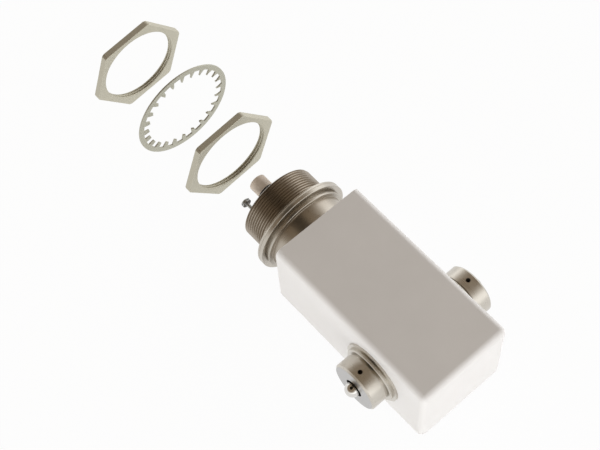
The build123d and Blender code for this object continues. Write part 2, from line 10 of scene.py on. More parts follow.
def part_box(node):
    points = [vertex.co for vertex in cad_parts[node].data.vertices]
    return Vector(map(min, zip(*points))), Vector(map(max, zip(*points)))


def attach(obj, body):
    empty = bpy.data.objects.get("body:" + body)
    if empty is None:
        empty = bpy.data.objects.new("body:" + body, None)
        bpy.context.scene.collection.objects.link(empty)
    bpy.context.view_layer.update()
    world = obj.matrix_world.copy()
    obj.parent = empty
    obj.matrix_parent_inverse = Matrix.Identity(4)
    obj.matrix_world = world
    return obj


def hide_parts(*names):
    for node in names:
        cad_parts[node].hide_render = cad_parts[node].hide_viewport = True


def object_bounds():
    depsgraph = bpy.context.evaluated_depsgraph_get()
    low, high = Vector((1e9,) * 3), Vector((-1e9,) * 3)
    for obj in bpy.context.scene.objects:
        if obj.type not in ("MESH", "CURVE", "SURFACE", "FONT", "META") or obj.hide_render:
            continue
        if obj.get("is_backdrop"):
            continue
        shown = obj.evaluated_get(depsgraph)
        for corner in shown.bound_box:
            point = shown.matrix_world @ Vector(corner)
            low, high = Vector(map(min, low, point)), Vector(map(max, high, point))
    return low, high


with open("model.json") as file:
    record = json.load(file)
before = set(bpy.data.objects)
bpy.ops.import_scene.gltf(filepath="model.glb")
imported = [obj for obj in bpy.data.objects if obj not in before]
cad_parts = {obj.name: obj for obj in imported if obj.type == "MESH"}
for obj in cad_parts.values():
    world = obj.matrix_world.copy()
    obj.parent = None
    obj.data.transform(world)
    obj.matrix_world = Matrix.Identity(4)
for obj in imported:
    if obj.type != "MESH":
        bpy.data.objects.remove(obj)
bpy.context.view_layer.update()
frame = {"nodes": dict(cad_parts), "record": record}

bl_info = {
    "name": "High-voltage relay block",
    "version": (1, 0, 0),
    "blender": (4, 5, 0),
    "location": "3D View > Sidebar > Relay",
    "description": "Dresses the packed relay block with its visible pieces, finishes and studio",
    "category": "Object",
}

MM = 0.001
MERGE = 1e-6  # points closer than this are one point
FACE_SKIN = 0.04 * MM  # how deep the painted shade of a cap's end face reaches, and how near the potting's open end a face must lie to count as its top
FACING = 0.9  # a face looks along an axis when its normal goes at least this far along it
FLAT_ANGLE = math.radians(1)  # faces that meet at less than this are one flat
SMOOTH_ANGLE = math.radians(30)  # faces that meet at less than this are shaded as one surface
SHARP_ANGLE = 35  # in degrees: faces that meet at more than this have a broken edge
THREAD_SLOPE = math.tan(math.radians(60))  # depth of a thread's flank over its width
X_AXIS = Vector((1, 0, 0))
Y_AXIS = Vector((0, 1, 0))
Z_AXIS = Vector((0, 0, 1))
ORIGIN = Vector((0, 0, 0))

# Steps in which round shapes are made
LATHE_STEPS = 128
SMALL_STEPS = 64
HOLE_STEPS = 32
BALL_STEPS = 28
EDGE_STEPS = 8
CROWN_STEPS = 8
BUSH_STEPS = 5
TOOTH_STEPS = 5
TOOTH_ROOT_STEPS = 4
TOOTH_SIDE_STEPS = 3

# Most of a noise lies between these two values
NOISE_LOW = 0.3
NOISE_HIGH = 0.7

# Sockets of a Mix node that mixes colours
MIX_FACTOR = 0
MIX_FIRST = 6
MIX_SECOND = 7
MIX_RESULT = 2

# Studio, in metres and watts
SKY_STOPS = (0.20, 0.50, 0.75, 0.88, 0.94)  # 0 is level with the object, 1 is the dark overhead
LAMP_HEIGHT = 0.25
LAMPS = (  # name, place, width and power
    ("end_lamp", (0.10, -0.95, 0.09), 1.3, 3.6),
    ("side_lamp", (-0.95, -0.10, 0.09), 0.9, 5.4),
    ("far_lamp", (0.95, 0.15, 0.09), 0.9, 2.4),
)
COOL_WHITE = (0.93, 0.97, 1.0)
FLOOR_WHITE = 0.96  # share of plain white in the floor, where a ray shows it
FLOOR_ROUGHNESS = 0.9
SENSOR_WIDTH = 36.0  # in millimetres
NEAR_CLIP = 0.01

# Places taken from the frame
CASE_LOW, CASE_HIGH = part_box("block_case")
BOSS_LOW, BOSS_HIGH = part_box("mounting_boss")
HEADER_LOW, HEADER_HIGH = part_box("header_disc")
POST_LOW, POST_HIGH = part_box("centre_post")
CAP_LOW, CAP_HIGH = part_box("right_terminal_cap")
BALL_LOW, BALL_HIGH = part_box("right_ball_stud")
PIN_LOW, PIN_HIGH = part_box("left_coil_pin")
WASHER_LOW, WASHER_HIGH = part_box("lock_washer")
TERMINAL_AXIS = Vector((0, (BALL_LOW.y + BALL_HIGH.y) / 2, 0))  # where it crosses the boss axis
PIN_MIDDLE = (PIN_LOW + PIN_HIGH) / 2
PIN_AXIS = Vector((PIN_MIDDLE.x, 0, PIN_MIDDLE.z))  # where it crosses the flange face's plane


def length(name, description, default):
    return FloatProperty(
        name=name, description=description, default=default, min=0, subtype="DISTANCE", unit="LENGTH"
    )


def coordinate(name, description, default):
    return FloatProperty(
        name=name, description=description, default=default, subtype="DISTANCE", unit="LENGTH"
    )


def number(name, description, default, **limits):
    return FloatProperty(name=name, description=description, default=default, **limits)


def colour(name, description, default):
    return FloatVectorProperty(
        name=name, description=description, default=default, min=0, max=1, size=3, subtype="COLOR"
    )


def turn(name, description, degrees):
    angle = math.radians(degrees)
    return FloatProperty(
        name=name, description=description, default=angle, subtype="ANGLE", unit="ROTATION"
    )


class CaseSizes(bpy.types.PropertyGroup):
    wall: length("Wall", "Thickness of the cast wall", 3.0 * MM)
    edge_round: length("Edge round", "Radius of the block's outer edges", 3.0 * MM)
    rim_round: length("Rim round", "Radius of the open end's rim", 0.35 * MM)
    end_wall: length("End wall", "Thickness of the cast wall at the closed end", 3.0 * MM)
    stud_hole: length("Stud hole", "Radius of the hole for each terminal's stud", 6.0 * MM)
    meniscus: length("Meniscus", "How far the potting sinks away from the case wall", 0.3 * MM)
    cast_colour: colour("Cast colour", "Colour of the cast case", (0.755, 0.737, 0.724))
    potting_colour: colour("Potting colour", "Colour of the potting", (0.60, 0.57, 0.53))


class BossSizes(bpy.types.PropertyGroup):
    thread_pitch: length("Pitch", "Distance from one turn of the thread to the next", 1.27 * MM)
    thread_crest: length("Crest", "Width of the thread's flat crest", 0.16 * MM)
    thread_valley: length("Valley", "Width of the thread's flat valley", 0.30 * MM)
    thread_radius: length("Thread radius", "Radius over the thread's crests", 19.05 * MM)
    thread_chamfer: length("Thread chamfer", "Chamfer at the mouth end of the thread", 0.7 * MM)
    pilot: length("Pilot", "Plain collar between flange and thread", 0.9 * MM)
    flange: length("Flange", "Thickness of the flange", 2.9 * MM)
    rim_groove_at: length("Groove place", "Middle of the rim's groove behind the flange face", 1.0 * MM)
    rim_groove_width: length("Groove width", "Width of the groove round the flange's rim", 0.5 * MM)
    rim_groove_depth: length("Groove depth", "Depth of the groove round the flange's rim", 0.3 * MM)
    slot: length("Slot", "Gap between the flange and the collar behind it", 1.1 * MM)
    slot_radius: length("Slot radius", "Radius at the bottom of that gap", 20.2 * MM)
    collar: length("Collar", "Thickness of the collar behind the flange", 1.1 * MM)
    collar_radius: length("Collar radius", "Radius of the collar behind the flange", 21.4 * MM)
    neck_radius: length("Neck radius", "Radius of the neck between collar and block", 19.4 * MM)
    wall: length("Wall", "Metal left under the thread", 2.6 * MM)
    root_wall: length("Root wall", "Wall of the root that is sunk in the potting", 1.4 * MM)
    root_groove_width: length("Root groove width", "Width of the groove that keys the root", 2.5 * MM)
    root_groove_depth: length("Root groove depth", "Depth of the groove that keys the root", 0.6 * MM)
    ledge: length("Ledge", "Shoulder that the header rests on", 0.6 * MM)
    edge_break: length("Edge break", "Width of the broken edges", 0.24 * MM)


class HeaderSizes(bpy.types.PropertyGroup):
    fit: length("Fit", "Gap round the header disc", 0.05 * MM)
    tube_radius: length("Tube radius", "Radius of the exhaust tube through the header", 1.6 * MM)
    bush_wall: length("Bush wall", "Wall of the bushing round each pin", 1.8 * MM)
    bush_proud: length("Bush height", "How far each bushing stands out of the header", 0.5 * MM)
    pin_radius: length("Pin radius", "Radius of the coil pins", 0.8 * MM)
    pin_head: length("Pin head", "Thickness of each pin's turned head", 1.5 * MM)
    pin_neck: length("Pin neck", "Depth of the groove round the pin's head", 0.5 * MM)
    post_radius: length("Post radius", "Radius of the post's upper length", 4.25 * MM)
    post_base: length("Post base", "Length of the post's wider lower part", 10.6 * MM)
    post_bore: length("Post bore", "Radius of the bore inside the post", 2.3 * MM)
    post_bore_depth: length("Post bore depth", "Depth of the bore inside the post", 15.0 * MM)
    post_round: length("Post round", "Radius of the post's rounded top", 0.6 * MM)
    post_shoulder: length("Post shoulder", "Chamfer on the post's shoulder", 0.4 * MM)
    post_break: length("Post edges", "Width of the post's broken edges", 0.12 * MM)
    header_break: length("Header edges", "Width of the header disc's broken edges", 0.1 * MM)


class TerminalSizes(bpy.types.PropertyGroup):
    base: length("Base", "Thickness of the thin round base on the case wall", 1.0 * MM)
    collar: length("Collar", "Thickness of the cap's collar", 1.6 * MM)
    collar_radius: length("Collar radius", "Radius of the cap's collar", 13.4 * MM)
    collar_chamfer: length("Collar chamfer", "Chamfer round the collar's outer edge", 0.4 * MM)
    groove: length("Groove", "Width of the groove beyond the collar", 0.7 * MM)
    groove_radius: length("Groove radius", "Radius at the bottom of the groove", 10.9 * MM)
    cap_radius: length("Cap radius", "Radius of the cap", 11.75 * MM)
    inner_chamfer: length("Inner chamfer", "Chamfer on the cap beside the groove", 0.3 * MM)
    outer_chamfer: length("Outer chamfer", "Chamfer round the cap's end face", 0.8 * MM)
    recess_radius: length("Recess radius", "Radius of the recess round the ball", 4.4 * MM)
    floor_gap: length("Floor gap", "Gap between the ball and the recess's floor", 2.4 * MM)
    web: length("Web", "Metal between the recess and the stud", 0.8 * MM)
    stud_radius: length("Stud radius", "Radius of the stud inside the cap", 4.0 * MM)
    ball_radius: length("Ball radius", "Radius of the polished ball", 3.5 * MM)
    ball_rise: length("Ball rise", "Ball centre beyond the cap's end face", 0.65 * MM)
    ball_shank: length("Ball shank", "Radius of the ball's shank", 1.6 * MM)
    cross_hole: length("Cross hole", "Radius of the hole drilled across the cap", 1.05 * MM)
    cross_hole_sink: length("Cross hole place", "Hole axis below the cap's end face", 3.6 * MM)
    edge_break: length("Edge break", "Width of the broken edges", 0.26 * MM)


class NutSizes(bpy.types.PropertyGroup):
    flats: length("Flats", "Width across the flats", 44.0 * MM)
    clearance: length("Clearance", "Radial gap over the boss's thread crests", 0.1 * MM)
    corner: length("Corner chamfer", "Chamfer on each of the six corners", 0.9 * MM)
    bore_chamfer: length("Bore chamfer", "Chamfer at both ends of the bore", 0.55 * MM)
    edge_break: length("Edge break", "Width of the broken edges", 0.18 * MM)
    turned: turn("Turn", "First corner's angle round the boss axis", 7.4)


class WasherSizes(bpy.types.PropertyGroup):
    rim: length("Rim", "Width of the rim", 2.5 * MM)
    sheet: length("Sheet", "Thickness of the sheet", 0.8 * MM)
    teeth: IntProperty(name="Teeth", description="Number of twisted teeth", default=24, min=3)
    tooth_gap: length("Tooth gap", "Radial gap from tooth tips to thread crests", 0.9 * MM)
    tooth_root: length("Tooth root", "Width of each tooth at the rim", 2.4 * MM)
    tooth_tip: length("Tooth tip", "Width of each tooth at its tip", 1.4 * MM)
    tip_twist: turn("Tip twist", "How far each tooth's tip is twisted", 36.0)
    edge_break: length("Edge break", "Width of the broken edges", 0.07 * MM)


class FinishColours(bpy.types.PropertyGroup):
    nickel: colour("Nickel", "Satin nickel plate of the boss and the caps", (0.60, 0.565, 0.505))
    # painted shade: a darker nickel for the caps' end faces, as where they reflect the darker floor
    face_shade: colour("Painted face shade", "Painted shade on the caps' end faces", (0.46, 0.45, 0.44))
    nut: colour("Nut plate", "Satin plate of the two nuts", (0.625, 0.60, 0.505))
    washer: colour("Washer plate", "Satin plate of the lock washer", (0.56, 0.55, 0.47))
    # painted shade: this dark brown darkens the thread, the neck towards the collar and the recesses
    # round the balls; a little of it also dulls the whole boss
    shade_and_dull: colour("Shade and dull", "Painted shade in the thread, the neck and the caps' recesses, and a dull tint over the boss", (0.17, 0.105, 0.045))
    polished: colour("Polished steel", "The ball in each terminal", (0.72, 0.70, 0.67))
    tin: colour("Tin", "Dull plate on the coil pins", (0.58, 0.59, 0.58))
    post: colour("Post", "Moulded centre post", (0.64, 0.55, 0.465))
    # near-black colour of the centre post below its shoulder
    collar: colour("Post below shoulder", "Dark lower part of the centre post", (0.02, 0.016, 0.013))
    laminate: colour("Laminate", "Header disc", (0.13, 0.08, 0.045))
    glass: colour("Glass", "Fired bushings round the pins", (0.55, 0.55, 0.50))
    copper: colour("Copper", "Winding, leads and exhaust tube", (0.64, 0.27, 0.14))
    bobbin: colour("Bobbin", "Moulded bobbin", (0.02, 0.02, 0.022))
    iron: colour("Iron", "Soft iron of the magnet", (0.33, 0.32, 0.31))
    steel: colour("Steel", "Seal rings, stem, spring and clip", (0.52, 0.52, 0.51))
    contact: colour("Contact metal", "Contacts and bridge", (0.40, 0.40, 0.42))
    brass: colour("Brass", "Stud under each terminal cap", (0.60, 0.42, 0.16))
    alumina: colour("Alumina", "Ceramic envelope and rod", (0.84, 0.81, 0.76))


class StageSettings(bpy.types.PropertyGroup):
    azimuth: turn("Azimuth", "Camera's direction round the object", -36.25)
    elevation: turn("Elevation", "Camera's height above the horizon", 61.80)
    roll: turn("Roll", "Camera's tilt", -5.61)
    distance: length("Distance", "Camera to the point it looks at", 591.4 * MM)
    target_x: coordinate("Aim across", "Where the camera looks, along the terminals", -0.3 * MM)
    target_y: coordinate("Aim along", "Where the camera looks, along the boss axis", -1.2 * MM)
    lens: number("Lens", "Focal length in millimetres", 80.47, min=1)
    floor_size: length("Floor size", "Side of the square floor", 6.0)
    floor_colour: colour("Floor colour", "Colour of the floor", (0.90, 0.90, 0.90))
    sky_low: colour("Surround", "Colour of the light from the sides", (1.0, 1.0, 1.0))
    sky_mid: colour("Upper surround", "Colour of the light from above the sides", (0.34, 0.305, 0.262))
    sky_ring: colour("Ring", "Colour of the light from half way up", (0.15, 0.115, 0.08))
    sky_high: colour("Overhead", "Colour of the light from near overhead", (0.25, 0.20, 0.145))
    sky_top: colour("Zenith", "Colour of the light from straight above", (0.008, 0.006, 0.004))
    sky_level: number("Sky level", "Strength of the surround", 1.5, min=0)
    dark_across: number("Dark across", "Lean of the dark overhead along X", -0.30)
    dark_along: number("Dark along", "Lean of the dark overhead along Y", 0.15)


# ---------------------------------------------------------------------------
# Modelling
# ---------------------------------------------------------------------------


def deselect():
    bpy.ops.object.select_all(action="DESELECT")


def take(piece):
    """Makes one piece the selected and active object."""
    deselect()
    piece.select_set(True)
    bpy.context.view_layer.objects.active = piece


def edit(piece):
    take(piece)
    bpy.ops.object.mode_set(mode="EDIT")


def leave_edit():
    bpy.ops.object.mode_set(mode="OBJECT")


def name_piece(name):
    """Names the piece that was just added, and its mesh."""
    piece = bpy.context.object
    piece.name = name
    piece.data.name = name
    return piece


def choose(piece, kind, test):
    """Selects the faces or the edges of a piece that pass a test."""
    bpy.ops.mesh.select_mode(type=kind)
    bpy.ops.mesh.select_all(action="DESELECT")
    mesh = bmesh.from_edit_mesh(piece.data)
    for part in mesh.faces if kind == "FACE" else mesh.edges:
        part.select_set(test(part))
    bmesh.update_edit_mesh(piece.data)


def clean():
    """Merges double points and points all faces outwards."""
    bpy.ops.mesh.select_all(action="SELECT")
    bpy.ops.mesh.remove_doubles(threshold=MERGE)
    bpy.ops.mesh.select_all(action="SELECT")
    bpy.ops.mesh.normals_make_consistent(inside=False)


def draw_outline(name, points, closed=True):
    """Draws an outline point by point, by extruding one vertex. It stays in edit mode."""
    deselect()
    bpy.ops.mesh.primitive_plane_add(size=MM, location=ORIGIN)
    piece = name_piece(name)
    bpy.ops.object.mode_set(mode="EDIT")
    bpy.ops.mesh.select_mode(type="VERT")
    bpy.ops.mesh.merge(type="CENTER")
    bpy.ops.transform.translate(value=points[0])
    route = points + points[:1] if closed else points
    for here, there in zip(route, route[1:]):
        bpy.ops.mesh.extrude_region_move(TRANSFORM_OT_translate={"value": there - here})
    bpy.ops.mesh.select_all(action="SELECT")
    bpy.ops.mesh.remove_doubles(threshold=MERGE)
    return piece


def lathe(name, points, centre=ORIGIN, axis=Y_AXIS, closed=True, steps=LATHE_STEPS):
    """Spins an outline once round an axis into a turned piece."""
    piece = draw_outline(name, points, closed)
    bpy.ops.mesh.select_all(action="SELECT")
    bpy.ops.mesh.spin(steps=steps, angle=math.tau, center=centre, axis=axis)
    clean()
    leave_edit()
    return piece


def about_boss(outline):
    """Points in the plane of the boss axis, from (radius, distance along it) pairs."""
    return [Vector((radius, along, 0)) for radius, along in outline]


def about_pin(outline):
    """The same about the left coil pin's axis."""
    return [PIN_AXIS + point for point in about_boss(outline)]


def about_terminal(outline):
    """Points in the plane of the right terminal's axis, from (distance, radius) pairs."""
    return [TERMINAL_AXIS + Vector((along, radius, 0)) for along, radius in outline]


def arc(centre, radius, start, end, steps):
    """Pairs along an arc, from one angle in degrees to another."""
    pairs = []
    for step in range(steps + 1):
        angle = math.radians(start + (end - start) * step / steps)
        pairs.append((centre[0] + radius * math.cos(angle), centre[1] + radius * math.sin(angle)))
    return pairs


def apply_modifier(piece, kind, **settings):
    take(piece)
    bpy.ops.object.modifier_add(type=kind)
    modifier = piece.modifiers[-1]
    for key, value in settings.items():
        setattr(modifier, key, value)
    bpy.ops.object.modifier_apply(modifier=modifier.name)


def combine(piece, tool, operation):
    """Joins, cuts or trims a piece with a tool, which is used up."""
    apply_modifier(piece, "BOOLEAN", operation=operation, object=tool, solver="EXACT")
    bpy.data.objects.remove(tool, do_unlink=True)


def break_edges(piece, width, angle=SHARP_ANGLE, segments=1):
    """Chamfers the sharp edges, or rounds them when there is more than one segment."""
    apply_modifier(
        piece,
        "BEVEL",
        width=width,
        segments=segments,
        limit_method="ANGLE",
        angle_limit=math.radians(angle),
        use_clamp_overlap=True,
    )


def copy_piece(piece, name):
    """A copy of a piece with a mesh of its own, left in edit mode with all of it selected."""
    take(piece)
    bpy.ops.object.duplicate()
    copy = name_piece(name)
    bpy.ops.object.mode_set(mode="EDIT")
    bpy.ops.mesh.select_all(action="SELECT")
    return copy


def copy_moved(piece, name, by):
    """A copy of a piece, moved."""
    copy = copy_piece(piece, name)
    bpy.ops.transform.translate(value=by)
    leave_edit()
    return copy


def copy_across(piece, name):
    """A copy of a terminal's piece, turned half round the vertical onto the other terminal."""
    copy = copy_piece(piece, name)
    bpy.ops.transform.rotate(value=math.pi, orient_axis="Z", center_override=TERMINAL_AXIS)
    leave_edit()
    return copy


def thread_form(sizes):
    """The width along the axis and the depth of one flank of the thread."""
    flank = (sizes.thread_pitch - sizes.thread_crest - sizes.thread_valley) / 2
    return flank, flank * THREAD_SLOPE


def thread_coil(name, sizes, outer, start, turns):
    """One helical ridge round the boss axis, from a section drawn point by point and screwed along it.
    It is a crest wide at the outer radius. Its foot reaches half a valley deeper than the
    thread's flanks, so that it overlaps the piece that it joins or cuts."""
    flank, depth = thread_form(sizes)
    crest = sizes.thread_crest
    sink = sizes.thread_valley / 2
    inner = outer - depth - sink
    side = flank * (depth + sink) / depth
    section = [(inner, 0), (outer, side), (outer, side + crest), (inner, 2 * side + crest)]
    piece = draw_outline(name, [Vector((radius, start + along, 0)) for radius, along in section])
    leave_edit()
    apply_modifier(
        piece,
        "SCREW",
        axis="Y",
        angle=math.tau,
        screw_offset=sizes.thread_pitch,
        iterations=turns,
        steps=LATHE_STEPS,
        render_steps=LATHE_STEPS,
        use_merge_vertices=True,
        merge_threshold=MERGE,
    )
    edit(piece)
    bpy.ops.mesh.select_all(action="SELECT")
    bpy.ops.mesh.fill_holes(sides=len(section))
    clean()
    leave_edit()
    return piece


def dress(piece, body, nodes, finish):
    """Gives a finished piece its shading, its finish and its place on a body. Weighted normals
    lean the shading of the broken edges on the broad faces beside them."""
    take(piece)
    bpy.ops.object.shade_smooth_by_angle(angle=SMOOTH_ANGLE)
    apply_modifier(piece, "WEIGHTED_NORMAL", keep_sharp=True)
    piece.data.materials.clear()
    piece.data.materials.append(finish)
    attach(piece, body)
    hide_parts(*nodes)


# ---------------------------------------------------------------------------
# Finishes
# ---------------------------------------------------------------------------


def add_node(tree, kind, inputs=None, **settings):
    """Adds a shader node with its settings, and links or sets its inputs."""
    made = tree.nodes.new(kind)
    for key, value in settings.items():
        setattr(made, key, value)
    for key, value in (inputs or {}).items():
        if isinstance(value, bpy.types.NodeSocket):
            tree.links.new(value, made.inputs[key])
        else:
            made.inputs[key].default_value = value
    return made


def maths(tree, operation, first, second):
    return add_node(tree, "ShaderNodeMath", {0: first, 1: second}, operation=operation).outputs[0]


class Finish:
    """A material under construction: one shader and the nodes that drive it."""

    def __init__(self, name, base, roughness, metallic=0.0):
        self.material = bpy.data.materials.new(name)
        self.material.use_nodes = True
        self.tree = self.material.node_tree
        self.tree.nodes.clear()
        output = self.node("ShaderNodeOutputMaterial")
        inputs = {"Base Color": (*base, 1), "Roughness": roughness, "Metallic": metallic}
        self.shader = self.node("ShaderNodeBsdfPrincipled", inputs)
        self.tree.links.new(self.shader.outputs["BSDF"], output.inputs["Surface"])
        self.place = self.node("ShaderNodeTexCoord").outputs["Object"]
        self.base = base
        self.tone = base
        self.bump = None

    def node(self, kind, inputs=None, **settings):
        return add_node(self.tree, kind, inputs, **settings)

    def link(self, output, socket):
        self.tree.links.new(output, self.shader.inputs[socket])

    def maths(self, operation, first, second=0.0):
        return maths(self.tree, operation, first, second)

    def average(self, first, second):
        return self.maths("MULTIPLY", self.maths("ADD", first, second), 0.5)

    def ranged(self, value, low, high, to_low=0.0, to_high=1.0):
        """A value carried from one range to another, and held at its ends."""
        source = {"Value": value, "From Min": low, "From Max": high}
        target = {"To Min": to_low, "To Max": to_high}
        return self.node("ShaderNodeMapRange", {**source, **target}).outputs["Result"]

    def noise(self, scale, detail=2.0, rough=0.5, place=None):
        inputs = {"Vector": place or self.place, "Scale": scale, "Detail": detail, "Roughness": rough}
        return self.node("ShaderNodeTexNoise", inputs).outputs["Fac"]

    def cells(self, scale):
        """Distance to the nearest of many scattered points."""
        inputs = {"Vector": self.place, "Scale": scale}
        return self.node("ShaderNodeTexVoronoi", inputs).outputs["Distance"]

    def bands(self, direction, scale, distortion, detail):
        """Waves that follow one another along an axis."""
        inputs = {"Vector": self.place, "Scale": scale, "Distortion": distortion, "Detail": detail}
        wave = self.node("ShaderNodeTexWave", inputs, wave_type="BANDS", bands_direction=direction)
        return wave.outputs["Fac"]

    def stretched(self, scale):
        """Object coordinates scaled by a different amount along each axis."""
        mapping = self.node("ShaderNodeMapping", {"Vector": self.place, "Scale": scale})
        return mapping.outputs["Vector"]

    def about(self, axis, centre):
        """A point's radius about an axis and its place along it."""
        moved = self.node("ShaderNodeMapping", {"Vector": self.place, "Location": -centre})
        parts = self.node("ShaderNodeSeparateXYZ", {0: moved.outputs["Vector"]}).outputs
        squares = [self.maths("POWER", parts[name], 2.0) for name in "XYZ" if name != axis]
        return self.maths("SQRT", self.maths("ADD", *squares)), parts[axis]

    def rings(self, axis, centre, density, detail=2.0):
        """A noise that runs in rings about an axis, as a lathe tool leaves it."""
        radius, along = self.about(axis, centre)
        wide = self.maths("MULTIPLY", radius, density)
        deep = self.maths("MULTIPLY", along, density)
        place = self.node("ShaderNodeCombineXYZ", {"X": wide, "Y": deep}).outputs["Vector"]
        return self.noise(1.0, detail=detail, place=place)

    def mixed(self, factor, first, second):
        """Two colours mixed, each a plain one or a pattern."""
        mix = self.node("ShaderNodeMix", {MIX_FACTOR: factor}, data_type="RGBA")
        for socket, tone in ((MIX_FIRST, first), (MIX_SECOND, second)):
            if isinstance(tone, bpy.types.NodeSocket):
                self.tree.links.new(tone, mix.inputs[socket])
            else:
                mix.inputs[socket].default_value = (*tone, 1)
        return mix.outputs[MIX_RESULT]

    def tint(self, factor, tone):
        """Mixes another colour into the colour so far."""
        self.tone = self.mixed(factor, self.tone, tone)
        self.link(self.tone, "Base Color")

    def shade(self, value, dark, light, low=NOISE_LOW, high=NOISE_HIGH):
        """Colours the base from a darker to a lighter share of itself as a value rises."""
        self.tone = [min(1.0, channel * dark) for channel in self.base]
        self.tint(self.ranged(value, low, high), [min(1.0, channel * light) for channel in self.base])

    def rough(self, value, low, high):
        self.link(self.ranged(value, NOISE_LOW, NOISE_HIGH, low, high), "Roughness")

    def raise_by(self, height, distance, strength=1.0):
        """Adds a bump of a height pattern on top of the bumps made before it."""
        inputs = {"Height": height, "Distance": distance, "Strength": strength}
        if self.bump:
            inputs["Normal"] = self.bump
        self.bump = self.node("ShaderNodeBump", inputs).outputs["Normal"]
        self.link(self.bump, "Normal")


def cast_resin(name, base):
    """Smooth cast resin: faint clouding, a fine orange-peel skin and a few pin pricks."""
    finish = Finish(name, base, roughness=0.42)
    finish.shade(finish.noise(35, detail=4.0, rough=0.6), dark=0.972, light=1.012)
    finish.rough(finish.noise(140, detail=3.0), low=0.36, high=0.50)
    finish.raise_by(finish.noise(700), 0.02 * MM, strength=0.5)
    finish.raise_by(finish.noise(3200), 0.006 * MM, strength=0.5)
    pricks = finish.ranged(finish.cells(330), low=0.0, high=0.07)
    finish.raise_by(pricks, 0.05 * MM, strength=0.4)
    return finish.material


def potting_resin(name, base):
    """Poured resin: slow waves, small bubbles and a duller skin."""
    finish = Finish(name, base, roughness=0.5)
    finish.shade(finish.noise(60, detail=4.0, rough=0.6), dark=0.88, light=1.05)
    finish.rough(finish.noise(220, detail=3.0), low=0.38, high=0.62)
    finish.raise_by(finish.noise(170), 0.12 * MM, strength=0.6)
    bubbles = finish.ranged(finish.cells(420), low=0.0, high=0.16)
    finish.raise_by(bubbles, 0.08 * MM, strength=0.5)
    return finish.material


def turned_nickel(name, base, axis, centre):
    """Satin plate over a turned surface: fine tool rings and a faint mottle."""
    finish = Finish(name, base, roughness=0.30, metallic=1.0)
    rings = finish.rings(axis, centre, density=9000, detail=3.0)
    mottle = finish.noise(300, detail=3.0, rough=0.6)
    finish.shade(mottle, dark=0.965, light=1.02)
    finish.rough(finish.average(rings, mottle), low=0.25, high=0.35)
    finish.raise_by(rings, 0.003 * MM, strength=0.5)
    return finish


def boss_nickel(name, base, shade_and_dull, block, neck, start, valley, crest):
    """Turned nickel, a little dull all over, with painted shade that darkens the thread and the neck
    towards the collar.
    The block's face, the neck's end and the thread's start are places along the axis."""
    finish = turned_nickel(name, base, "Y", ORIGIN)
    radius, along = finish.about("Y", ORIGIN)
    threaded = finish.maths("GREATER_THAN", along, start)
    # painted shade: the whole thread is darkened and browned, a little more at its crests
    thread_shade = finish.ranged(radius, valley, crest, to_low=0.45, to_high=0.56)
    # painted shade on the neck, darkest next to the collar; elsewhere only the plain dull tint
    behind = finish.maths("LESS_THAN", along, neck)
    corner = finish.ranged(along, block, neck, to_low=0.15, to_high=0.45)
    dull = 0.15
    neck_shade_and_dull = finish.maths("MAXIMUM", finish.maths("MULTIPLY", behind, corner), dull)
    finish.tint(finish.maths("MAXIMUM", finish.maths("MULTIPLY", threaded, thread_shade), neck_shade_and_dull), shade_and_dull)
    return finish.material


def cap_nickel(name, base, face_shade, shade_and_dull, face, recess):
    """Turned nickel of the caps, with painted shade on the end faces and deeper painted shade in the
    recess round the ball.
    """
    finish = turned_nickel(name, base, "X", TERMINAL_AXIS)
    radius, along = finish.about("X", TERMINAL_AXIS)
    reach = finish.maths("ABSOLUTE", along)
    # painted shade on the end faces
    finish.tint(finish.maths("GREATER_THAN", reach, face - FACE_SKIN), face_shade)
    # painted shade in the recess round the ball, darker towards its floor
    inside = finish.maths("LESS_THAN", radius, recess)
    shadow_depth = recess / 3
    deep = finish.ranged(reach, face, face - shadow_depth, to_high=0.9)
    finish.tint(finish.maths("MULTIPLY", inside, deep), shade_and_dull)
    return finish.material


def tumbled_nickel(name, base):
    """Plate over a tumbled blank: faint crossing scratches and a soft mottle."""
    finish = Finish(name, base, roughness=0.48, metallic=1.0)
    mottle = finish.noise(200, detail=3.0, rough=0.6)
    finish.shade(mottle, dark=0.96, light=1.02)
    first = finish.noise(1.0, place=finish.stretched((5200, 420, 900)))
    second = finish.noise(1.0, place=finish.stretched((700, 3800, 5200)))
    scratches = finish.average(first, second)
    finish.rough(finish.average(scratches, mottle), low=0.55, high=0.68)
    finish.raise_by(scratches, 0.002 * MM, strength=0.4)
    return finish.material


def polished_metal(name, base):
    """Mirror finish with a breath of haze and fine wipe marks."""
    finish = Finish(name, base, roughness=0.06, metallic=1.0)
    finish.shade(finish.noise(900, detail=3.0), dark=0.95, light=1.0)
    finish.rough(finish.noise(1500, detail=3.0), low=0.03, high=0.07)
    wipes = finish.noise(1.0, place=finish.stretched((700, 3600, 900)))
    finish.raise_by(wipes, 0.0015 * MM, strength=0.3)
    return finish.material


def plain_metal(name, base, roughness, axis="Y", centre=ORIGIN):
    """Turned metal of a small or inner piece: tool rings and slightly uneven tone."""
    finish = Finish(name, base, roughness, metallic=1.0)
    finish.shade(finish.noise(500, detail=3.0), dark=0.86, light=1.06)
    rings = finish.rings(axis, centre, density=5000)
    finish.rough(rings, low=roughness - 0.07, high=roughness + 0.10)
    finish.raise_by(rings, 0.008 * MM, strength=0.5)
    return finish.material


def moulded_plastic(name, base, roughness):
    """Moulded plastic: a matt grain, slow clouding and a slightly worn sheen."""
    finish = Finish(name, base, roughness)
    finish.shade(finish.noise(240, detail=5.0, rough=0.65), dark=0.90, light=1.06)
    finish.rough(finish.noise(900, detail=3.0), low=roughness - 0.08, high=roughness + 0.08)
    finish.raise_by(finish.noise(2400, detail=3.0), 0.03 * MM, strength=0.5)
    return finish


